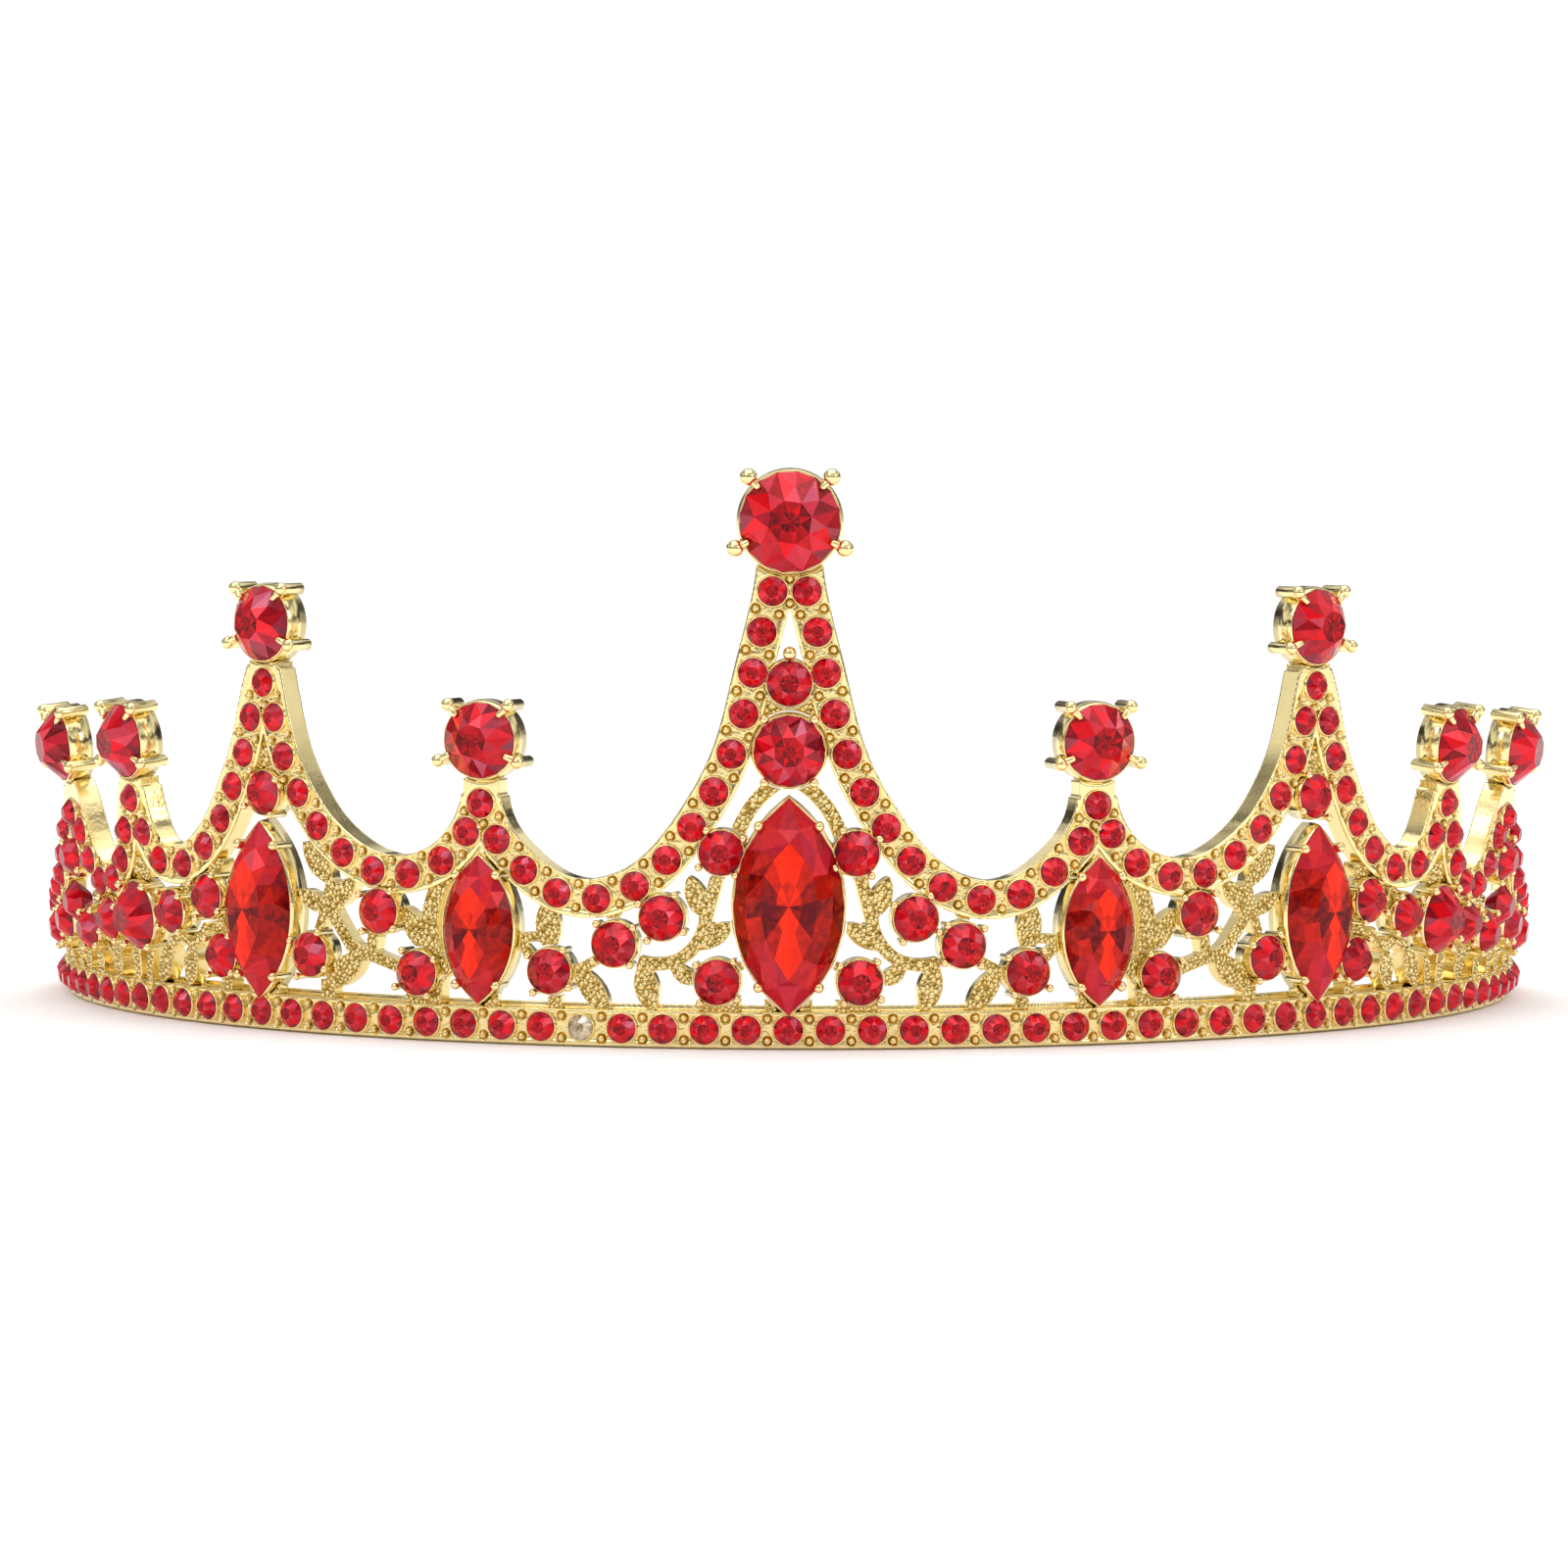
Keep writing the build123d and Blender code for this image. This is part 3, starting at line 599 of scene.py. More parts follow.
def ball_profile(radius: float, height: float, steps: int = 6) -> list[tuple[float, float]]:
    """Quarter-round profile from the side of a ball to its top.

    Args:
        radius: the ball's radius.
        height: its centre's height.
        steps: the number of steps.

    Returns:
        (radius, height) points.
    """
    turns = [math.pi / 2 * step / steps for step in range(steps)]
    side = [(radius * math.cos(turn), height + radius * math.sin(turn)) for turn in turns]
    return side + [(0.0, height + radius)]


def align(origin: Vector, axis: Vector) -> Matrix:
    """Matrix that puts local Z along an axis at an origin."""
    return Matrix.Translation(origin) @ axis.to_track_quat("Z", "Y").to_matrix().to_4x4()


# ---------------------------------------------------------------- reading the frame


@dataclass(frozen=True)
class Seat:
    """Where a stone sits: the middle of its girdle, its outward axis and its sizes, in metres."""

    centre: Vector
    axis: Vector
    up: Vector
    half_width: float
    half_length: float
    crown: float
    depth: float

    @property
    def across(self) -> Vector:
        """Direction along the band, to the right when seen from outside."""
        return self.up.cross(self.axis)

    @property
    def matrix(self) -> Matrix:
        """Matrix of the seat: X across, Y up, Z out of the wall."""
        turn = Matrix((self.across, self.up, self.axis)).transposed().to_4x4()
        return Matrix.Translation(self.centre) @ turn


def solids_in(node: bpy.types.Object) -> list[tuple[np.ndarray, np.ndarray]]:
    """Splits a CAD node into its separate solids.

    Args:
        node: the node's object.

    Returns:
        The points and the triangles of each solid.
    """
    made = bmesh.new()
    made.from_mesh(node.data)
    bmesh.ops.remove_doubles(made, verts=made.verts, dist=WELD)
    bmesh.ops.triangulate(made, faces=made.faces)
    made.verts.ensure_lookup_table()
    made.verts.index_update()
    label = [-1] * len(made.verts)
    count = 0
    for first in made.verts:
        if label[first.index] >= 0:
            continue
        queue = [first]
        label[first.index] = count
        while queue:
            for edge in queue.pop().link_edges:
                for vertex in edge.verts:
                    if label[vertex.index] < 0:
                        label[vertex.index] = count
                        queue.append(vertex)
        count += 1
    points = np.array([vertex.co for vertex in made.verts])
    triangles = np.array([[vertex.index for vertex in face.verts] for face in made.faces])
    made.free()
    label_of = np.array(label)
    solids = []
    for number in range(count):
        inside = np.flatnonzero(label_of == number)
        renumber = np.full(len(points), -1)
        renumber[inside] = np.arange(len(inside))
        own = triangles[label_of[triangles[:, 0]] == number]
        solids.append((points[inside], renumber[own]))
    return solids


def seat_of(points: np.ndarray, triangles: np.ndarray) -> Seat:
    """Finds a CAD stone's seat: its table and culet are the largest pair of opposite flats.

    Args:
        points: the solid's points.
        triangles: its triangles.

    Returns:
        The seat.
    """
    corners = points[triangles]
    cross = np.cross(corners[:, 1] - corners[:, 0], corners[:, 2] - corners[:, 0])
    area = np.linalg.norm(cross, axis=1)
    good = area > SLIVER_AREA
    area = area[good]
    normal = cross[good] / area[:, None]
    turn = normal @ normal.T
    ahead = (turn > PARALLEL) @ area
    behind = (turn < -PARALLEL) @ area
    pick = int(np.argmax(np.minimum(ahead, behind)))
    axis = normal[pick] if ahead[pick] > behind[pick] else -normal[pick]
    height = points @ axis
    table = points[height > height.max() - FLATNESS]
    middle = table.mean(axis=0)
    up = np.array((0.0, 0.0, 1.0)) - axis * axis[2]
    up /= np.linalg.norm(up)
    across = np.cross(up, axis)
    spoke = points - middle
    spoke -= np.outer(spoke @ axis, axis)
    reach = np.linalg.norm(spoke, axis=1)
    girdle = height[reach > GIRDLE_SHARE * reach.max()].max()
    crown = float(height.max() - girdle)
    return Seat(
        centre=Vector(middle - axis * crown), axis=Vector(axis), up=Vector(up),
        half_width=float(np.abs(spoke @ across).max()), half_length=float(np.abs(spoke @ up).max()),
        crown=crown, depth=float(girdle - height.min()),
    )


def around(place: Vector, middle: Vector) -> float:
    """Angle of a place round the tiara's plan, from its left end over the front to its right end."""
    return math.atan2(place.x - middle.x, -(place.y - middle.y))


@dataclass
class WallPlan:
    """The tiara's plan: a half ellipse whose middle is found from the base band's box."""

    half_width: float = 81.0 * MM
    half_depth: float = 76.0 * MM
    band_face: float = 0.3 * MM

    def middle(self) -> Vector:
        """Middle of the plan ellipse."""
        low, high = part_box("base_band")
        return Vector((0.0, low.y + self.half_depth - self.band_face, 0.0))

    def outward(self, points: np.ndarray) -> np.ndarray:
        """Outward unit directions of the wall at some points.

        Args:
            points: an array of points.

        Returns:
            An array of directions.
        """
        middle = self.middle()
        away = np.zeros_like(points)
        away[:, 0] = (points[:, 0] - middle.x) / self.half_width**2
        away[:, 1] = (points[:, 1] - middle.y) / self.half_depth**2
        return away / np.linalg.norm(away, axis=1, keepdims=True)


@dataclass(frozen=True)
class Link:
    """Two neighbouring stones on one bar."""

    start: Seat
    end: Seat

    @property
    def middle(self) -> Vector:
        """Point halfway between them."""
        return (self.start.centre + self.end.centre) / 2

    @property
    def axis(self) -> Vector:
        """Outward direction between them."""
        return (self.start.axis + self.end.axis).normalized()

    @property
    def side(self) -> Vector:
        """Direction across the bar, in the wall."""
        return self.axis.cross(self.end.centre - self.start.centre).normalized()


def chain(seats: list[Seat], middle: Vector, longest: float) -> list[Link]:
    """Links stones that follow each other round the tiara.

    Args:
        seats: the stones' seats.
        middle: the plan's middle.
        longest: the longest link.

    Returns:
        The links.
    """
    ordered = sorted(seats, key=lambda seat: around(seat.centre, middle))
    pairs = zip(ordered, ordered[1:])
    return [Link(a, b) for a, b in pairs if (a.centre - b.centre).length < longest]


# ---------------------------------------------------------------- stones


@dataclass
class Rough:
    """One stone being cut: its points, and its facets with their painted light tones."""

    points: list
    faces: list = field(default_factory=list)
    tones: list = field(default_factory=list)

    def ring(self, points: Iterable[tuple[float, float, float]]) -> list[int]:
        """Adds a ring of points.

        Args:
            points: the points, in order round the stone.

        Returns:
            Their indices.
        """
        start = len(self.points)
        self.points.extend(points)
        return list(range(start, len(self.points)))

    def facet(self, corners: Sequence[int], tone: tuple[float, float]) -> None:
        """Adds a facet with its painted light tone and painted highlight."""
        self.faces.append(tuple(corners))
        self.tones.append(tone)


@dataclass
class StoneCutter:
    """Cuts faceted stones for the seats, with a seeded painted light tone for every facet."""

    seed: int = 7
    table_ratio: float = 0.44
    shoulder_ratio: float = 0.72
    shoulder_height: float = 0.5
    core_ratio: float = 0.2
    culet_ratio: float = 0.3
    girdle_thickness: float = 0.15 * MM

    OUTLINE_SHARES = (1.0, 0.72, 0.46, 0.22, 0.0, -0.22, -0.46, -0.72)
    STAR = ((0.0, 0.6), (0.27, 0.45), (0.44, 0.3), (0.5, 0.08), (0.5, -0.07), (0.42, -0.28), (0.25, -0.46),
            (0.0, -0.66))
    # painted light and shade of the marquise table's facets, sector by sector from the top tip
    CORE_FAN = (0.7, 1.0, 0.5, 0.0, 0.2, 1.0, 1.0)
    OUTER_FAN = (1.0, 0.65, 0.3, 0.03, 0.12, 0.45, 0.95)

    def tone(self, rng: random.Random, low: float, high: float, painted_highlight: float = 0.0) -> tuple[float, float]:
        """Draws a facet's painted light tone and painted highlight.

        Args:
            rng: the seeded generator.
            low: the darkest tone.
            high: the brightest tone.
            painted_highlight: the most painted highlight it may get.

        Returns:
            The painted light tone and the painted highlight.
        """
        return rng.uniform(low, high), painted_highlight * rng.random()

    def chaton(self, draft: Draft, seat: Seat, rng: random.Random, fancy: bool) -> None:
        """Adds a round stone: table, stars, kites and upper halves over a plain back.

        Args:
            draft: the mesh to add to.
            seat: where it sits.
            rng: the seeded generator.
            fancy: whether its kites and halves are split, as on a large stone.
        """
        radius, crown = seat.half_width, seat.crown
        twist = rng.uniform(0, math.pi / 4)
        # painted highlight: the angle of the kite that takes a lamp's reflection, and how pale it is
        highlight = math.radians(rng.uniform(35, 75))
        shine = rng.choice((0.95, 0.75, 0.3))

        def spot(angle: float, ratio: float, height: float) -> tuple[float, float, float]:
            """Point at an angle, a share of the radius and a share of the crown."""
            reach, turn = radius * ratio, angle + twist
            return reach * math.cos(turn), reach * math.sin(turn), crown * height

        stone = Rough([(0.0, 0.0, crown * 0.995)])
        step = math.pi / 8
        core = stone.ring(spot(step * i, self.core_ratio, 0.998) for i in range(16))
        table = stone.ring(spot(2 * step * i, self.table_ratio, 1.0) for i in range(8))
        shoulder = stone.ring(spot(2 * step * i + step, self.shoulder_ratio, self.shoulder_height) for i in range(8))
        girdle = stone.ring(spot(step * i, 1.0, 0.0) for i in range(16))
        waist = stone.ring(spot(step * i, 1.0, -self.girdle_thickness / crown) for i in range(16))
        culet = stone.ring(spot(2 * step * i, self.culet_ratio, -seat.depth / crown) for i in range(8))

        def facet(corners: Sequence[int], low: float, high: float, painted_highlight: float = 0.0) -> None:
            """Adds a facet with a drawn tone."""
            stone.facet(corners, self.tone(rng, low, high, painted_highlight))

        # painted light and shade: each facet's tone range stands for the light through and off the stone, with a
        # dark table middle
        for i in range(16):
            after = (i + 1) % 16
            dark = i % 2 == 0
            facet((0, core[i], core[after]), 0.0 if dark else 0.15, 0.25 if dark else 0.5)
        for i in range(8):
            after = (i + 1) % 8
            inner, mid, outer = core[2 * i], core[2 * i + 1], core[(2 * i + 2) % 16]
            facet((inner, table[i], mid), 0.1, 0.75)
            facet((mid, table[i], table[after]), 0.0, 0.45)
            facet((mid, table[after], outer), 0.1, 0.75)
            facet((table[i], shoulder[i], table[after]), 0.45, 1.0, 0.35)
            before = shoulder[i - 1]
            # painted highlight on the kite facing the highlight angle, and on large stones on the lowest kite too
            heading = (2 * step * i + twist - highlight + math.pi) % (2 * math.pi) - math.pi
            lit = shine if abs(heading) < step else 0.12
            low_facet = abs(2 * step * i + twist - 1.5 * math.pi) < 1.2 * step
            lit = 0.75 if fancy and low_facet else lit
            if fancy:
                facet((table[i], before, girdle[2 * i]), 0.1, 0.95, lit)
                facet((table[i], girdle[2 * i], shoulder[i]), 0.1, 0.95, lit)
            else:
                facet((table[i], before, girdle[2 * i], shoulder[i]), 0.25, 0.95, lit)
            tip = girdle[2 * i + 1]
            facet((shoulder[i], girdle[2 * i], tip), 0.05, 0.7, 0.3)
            facet((shoulder[i], tip, girdle[(2 * i + 2) % 16]), 0.05, 0.7, 0.3)
        for i in range(16):
            after = (i + 1) % 16
            facet((girdle[i], waist[i], waist[after], girdle[after]), 0.2, 0.4)
        for i in range(8):
            after = (i + 1) % 8
            facet((waist[2 * i], culet[i], waist[2 * i + 1]), 0.2, 0.4)
            facet((waist[2 * i + 1], culet[i], culet[after]), 0.2, 0.4)
            facet((waist[2 * i + 1], culet[after], waist[(2 * i + 2) % 16]), 0.2, 0.4)
        facet(list(reversed(culet)), 0.2, 0.4)
        draft.add(stone.points, stone.faces, seat.matrix, stone.tones)

    def marquise(self, draft: Draft, seat: Seat, rng: random.Random) -> None:
        """Adds a marquise stone painted with light and shade: bright kites round its middle, a dark waist line and
        paler tips with a painted highlight.

        Args:
            draft: the mesh to add to.
            seat: where it sits.
            rng: the seeded generator.
        """
        width, length, crown = seat.half_width, seat.half_length, seat.crown
        bow = (length**2 + width**2) / (2 * width)
        sweep = math.asin(length / bow)

        def rim(share: float, side: int) -> tuple[float, float]:
            """Outline point at a share of the way from the waist to a tip, as shares of width and length."""
            turn = sweep * share
            return side * (bow * math.cos(turn) + width - bow) / width, bow * math.sin(turn) / length

        shares = self.OUTLINE_SHARES
        outline = [rim(share, 1) for share in shares] + [rim(-share, -1) for share in shares]
        halfway = [(a + b) / 2 for a, b in zip(shares, shares[1:] + (-1.0,))]
        middle_ring = [rim(share, 1) for share in halfway] + [rim(-share, -1) for share in halfway]
        table = list(self.STAR) + [(-x, y) for x, y in reversed(self.STAR[1:-1])]
        count = len(outline)

        def scaled(shape: Sequence[tuple[float, float]], ratio: float, height: float) -> list[tuple]:
            """Scaled outline at a share of the crown's height."""
            return [(x * ratio * width, y * ratio * length, height * crown) for x, y in shape]

        stone = Rough([(0.0, 0.02 * length, crown)])
        core = stone.ring(scaled(table, 0.45, 0.99))
        inner = stone.ring(scaled(table, 1.0, 0.95))
        shoulder = stone.ring(scaled(middle_ring, 0.8, 0.55))
        girdle = stone.ring(scaled(outline, 1.0, 0.0))
        waist = stone.ring(scaled(outline, 1.0, -self.girdle_thickness / crown))
        culet = stone.ring(scaled(outline, self.culet_ratio, -seat.depth / crown))
        # painted light and shade of the table's facets, from the fans with a random shift
        for i in range(len(table)):
            after = (i + 1) % len(table)
            sector = i if i < len(self.CORE_FAN) else len(table) - 1 - i
            core_tone = min(1.0, max(0.0, self.CORE_FAN[sector] + rng.uniform(-0.2, 0.1)))
            stone.facet((0, core[after], core[i]), (core_tone, 0.0))
            outer_tone = min(1.0, max(0.0, self.OUTER_FAN[sector] + rng.uniform(-0.2, 0.15)))
            stone.facet((core[i], core[after], inner[after], inner[i]), (outer_tone, 0.05 * rng.random()))

        def lit(y: float, low: float, high: float) -> tuple[float, float]:
            """Painted light tone and painted highlight at a height: painted shade by the waist, paler by the tips.

            Args:
                y: the height, as a share of the half length.
                low: the darkest tone.
                high: the brightest tone.

            Returns:
                The painted light tone and the painted highlight.
            """
            tip = min(1.0, abs(y) / 0.8)
            tone = rng.uniform(low, high) * (0.25 + 0.6 * tip)
            return tone, 0.8 * max(0.0, tip - 0.45) * rng.uniform(0.6, 1.4)

        def nearest(x: float, y: float) -> int:
            """Corner of the table that lies nearest inside a point of the middle ring."""
            gaps = [(a - x * 0.62) ** 2 + (b - y * 0.8) ** 2 for a, b in table]
            return gaps.index(min(gaps))

        near = [nearest(x, y) for x, y in middle_ring]
        # painted light and shade of the kites and halves, set by height
        for i in range(count):
            after = (i + 1) % count
            y = middle_ring[i][1]
            stone.facet((shoulder[i], girdle[i], girdle[after]), lit(y, 0.15, 0.7))
            stone.facet((shoulder[i], girdle[after], shoulder[after]), lit(y, 0.2, 0.9))
            stone.facet((shoulder[i], shoulder[after], inner[near[after]]), lit(y, 0.35, 1.0))
            walk = near[i]
            while walk != near[after]:
                following = (walk + 1) % len(table)
                stone.facet((shoulder[i], inner[following], inner[walk]), lit(y, 0.25, 1.0))
                walk = following
        for i in range(count):
            after = (i + 1) % count
            stone.facet((girdle[i], waist[i], waist[after], girdle[after]), (0.3, 0.0))
            stone.facet((waist[i], culet[i], culet[after], waist[after]), (0.3, 0.0))
        stone.facet(culet[::-1], (0.3, 0.0))
        draft.add(stone.points, stone.faces, seat.matrix, stone.tones)

    def cut(self, name: str, seats: list[Seat], cut: Cut, material: bpy.types.Material) -> bpy.types.Object:
        """Cuts every stone of a CAD node as one object.

        Args:
            name: the new object's name.
            seats: the seats of the node's stones.
            cut: how they are faceted.
            material: their material.

        Returns:
            The object.
        """
        draft = Draft()
        for index, seat in enumerate(seats):
            rng = random.Random(self.seed * 1000 + index)
            if cut is Cut.MARQUISE:
                self.marquise(draft, seat, rng)
            else:
                self.chaton(draft, seat, rng, cut is Cut.FANCY_CHATON)
        made = draft.build(name, material, smooth=False, coloured=True)
        fixer = bmesh.new()
        fixer.from_mesh(made.data)
        bmesh.ops.recalc_face_normals(fixer, faces=fixer.faces)
        fixer.to_mesh(made.data)
        fixer.free()
        return made


# ---------------------------------------------------------------- castings


def casting(node: bpy.types.Object, name: str, voxel: float, passes: int) -> bpy.types.Object:
    """Copies a CAD node and gives the copy the soft edges of a polished casting.

    Args:
        node: the CAD node's object.
        name: the copy's name.
        voxel: the size of the remeshing grid.
        passes: how many smoothing passes round its edges.

    Returns:
        The new object.
    """
    mesh = node.data.copy()
    made = bmesh.new()
    made.from_mesh(mesh)
    bmesh.ops.remove_doubles(made, verts=made.verts, dist=WELD)
    made.to_mesh(mesh)
    made.free()
    rough = bpy.data.objects.new(name, mesh)
    bpy.context.scene.collection.objects.link(rough)
    remesh = rough.modifiers.new("cast", "REMESH")
    remesh.mode = "VOXEL"
    remesh.voxel_size = voxel
    smooth = rough.modifiers.new("tumble", "SMOOTH")
    smooth.factor = 0.5
    smooth.iterations = passes
    depsgraph = bpy.context.evaluated_depsgraph_get()
    soft = bpy.data.meshes.new_from_object(rough.evaluated_get(depsgraph))
    rough.modifiers.clear()
    rough.data = soft
    soft.name = name
    soft.materials.clear()
    soft.polygons.foreach_set("use_smooth", [True] * len(soft.polygons))
    return rough


def vertices_of(mesh: bpy.types.Mesh) -> np.ndarray:
    """Reads a mesh's vertex positions.

    Args:
        mesh: the mesh.

    Returns:
        An array of points.
    """
    flat = np.zeros(len(mesh.vertices) * 3)
    mesh.vertices.foreach_get("co", flat)
    return flat.reshape(-1, 3)


def normals_of(mesh: bpy.types.Mesh) -> np.ndarray:
    """Reads a mesh's vertex normals.

    Args:
        mesh: the mesh.

    Returns:
        An array of directions.
    """
    flat = np.zeros(len(mesh.vertices) * 3)
    mesh.vertices.foreach_get("normal", flat)
    return flat.reshape(-1, 3)


def store(mesh: bpy.types.Mesh, name: str, values: np.ndarray) -> None:
    """Stores a value for each vertex under a name."""
    layer = mesh.attributes.new(name, "FLOAT", "POINT")
    layer.data.foreach_set("value", values.astype(np.float32))


def ease(values: np.ndarray) -> np.ndarray:
    """Smooth step of values clipped to 0 and 1."""
    clipped = np.clip(values, 0.0, 1.0)
    return clipped * clipped * (3 - 2 * clipped)


@dataclass(frozen=True)
class BeadRow:
    """The pairs of pitted beads between neighbouring stones, in a shallow channel."""

    spread: float
    half_width: float
    depth: float = 0.14 * MM
    edge: float = 0.3 * MM
    pit_radius: float = 0.6 * MM
    pit_depth: float = 0.36 * MM
    pit_edge: float = 0.22 * MM
    layer: float = 1.0 * MM
    layer_edge: float = 0.3 * MM

    def places(self, links: list[Link]) -> list[tuple[Vector, Vector]]:
        """Middles of the beads and their outward directions.

        Args:
            links: the chain of stones.

        Returns:
            A pair of a place and a direction for each bead.
        """
        pairs = product(links, (-1, 1))
        return [(link.middle + link.side * (sign * self.spread), link.axis) for link, sign in pairs]

    def face(self, normals: np.ndarray, axis: np.ndarray, lift: np.ndarray) -> np.ndarray:
        """Share of a pressing that each vertex takes: the front layer's outward faces take it all.

        Args:
            normals: the vertices' normals.
            axis: the outward direction.
            lift: the vertices' heights along it.

        Returns:
            The shares.
        """
        return ease((lift + self.layer) / self.layer_edge) * ease((normals @ axis - 0.1) / 0.5)

    def press(self, made: bpy.types.Object, links: list[Link]) -> None:
        """Presses the channel and the pits into a casting, and stores where they are, for the painted shade and the
        rougher tooth there.

        Args:
            made: the casting.
            links: the chain of stones.
        """
        mesh = made.data
        points, normals = vertices_of(mesh), normals_of(mesh)
        sunk = np.zeros(len(points))
        push = np.zeros_like(points)
        for link in links:
            start, end = np.array(link.start.centre), np.array(link.end.centre)
            axis = np.array(link.axis)
            run = end - start
            share = np.clip((points - start) @ run / (run @ run), 0.0, 1.0)
            away = points - (start + share[:, None] * run)
            lift = away @ axis
            beside = np.linalg.norm(away - lift[:, None] * axis, axis=1)
            near = self.face(normals, axis, lift)
            amount = self.depth * near * ease((self.half_width - beside) / self.edge)
            better = amount > sunk
            sunk[better] = amount[better]
            push[better] = -axis * amount[better, None]
        for place, direction in self.places(links):
            axis = np.array(direction)
            away = points - np.array(place)
            lift = away @ axis
            beside = np.linalg.norm(away - lift[:, None] * axis, axis=1)
            close = beside < self.pit_radius
            if not close.any():
                continue
            near = self.face(normals, axis, lift)
            amount = self.pit_depth * near * ease((self.pit_radius - beside) / self.pit_edge)
            better = amount > sunk
            sunk[better] = amount[better]
            push[better] = -axis * amount[better, None]
        mesh.vertices.foreach_set("co", (points + push).ravel())
        # the recess attribute drives painted shade in the channel and pits, as well as their tooth
        store(mesh, "recess", np.clip(sunk / self.pit_depth, 0.0, 1.0))
        mesh.update()


def grain_height(points: np.ndarray, cell: float) -> np.ndarray:
    """Height of rounded grains over space, 1 on a grain's top and 0 between grains.

    Args:
        points: where it is read.
        cell: the spacing of the grains.

    Returns:
        The heights.
    """
    turn = Matrix.Identity(3)
    for angle, axis in GRAIN_TURNS:
        turn = turn @ Matrix.Rotation(angle, 3, axis)
    places = points @ np.array(turn).T / cell
    base = np.floor(places)
    nearest = np.full(len(places), 9.0)
    second = np.full(len(places), 9.0)
    waves = np.array(GRAIN_WAVES)
    spread = 1.0 - 2.0 * GRAIN_MARGIN
    for shift in product((-1, 0, 1), repeat=3):
        corner = base + np.array(shift)
        jitter = np.modf(np.abs(np.sin(corner @ waves.T)) * GRAIN_SCATTER)[0]
        away = np.linalg.norm(places - corner - GRAIN_MARGIN - spread * jitter, axis=1)
        second = np.minimum(second, np.maximum(nearest, away))
        nearest = np.minimum(nearest, away)
    return ease((second - nearest) / GRAIN_CREASE)


@dataclass(frozen=True)
class Milling:
    """The grained face of a leaf."""

    cell: float = 0.5 * MM
    height: float = 0.2 * MM

    def press(self, made: bpy.types.Object, plan: WallPlan) -> None:
        """Raises grains on a casting's outward faces, and stores their creases for the painted shade there.

        Args:
            made: the casting.
            plan: the wall's plan.
        """
        mesh = made.data
        points, normals = vertices_of(mesh), normals_of(mesh)
        facing = ease((np.einsum("ij,ij->i", normals, plan.outward(points)) - 0.25) / 0.45)
        grains = grain_height(points, self.cell)
        points += normals * (self.height * facing * (grains - 0.5))[:, None]
        mesh.vertices.foreach_set("co", points.ravel())
        # crease mask for the painted shade between grains, on outward faces only
        store(mesh, "crease_shade_mask", facing * (1.0 - grains))
        mesh.update()


# ---------------------------------------------------------------- settings


@dataclass(frozen=True)
class GripSet:
    """Ball-tipped grips of a round stone: their angles from across, in degrees, and their sizes and places."""

    angles: tuple
    radius: float
    reach: float
    lift: float = 0.3 * MM


BAY_GRIPS = GripSet((45, 135, 225, 315), 0.42 * MM, 0.42 * MM)
BAY_GRIP_TURNS = (-12, 6, 14, -5, 9, 0)
SMALL_CUP_GRIPS = GripSet((90,), 0.72 * MM, 0.75 * MM, 0.2 * MM)
LARGE_CUP_GRIPS = GripSet((-52, -128, 52, 128), 0.5 * MM, 0.45 * MM)


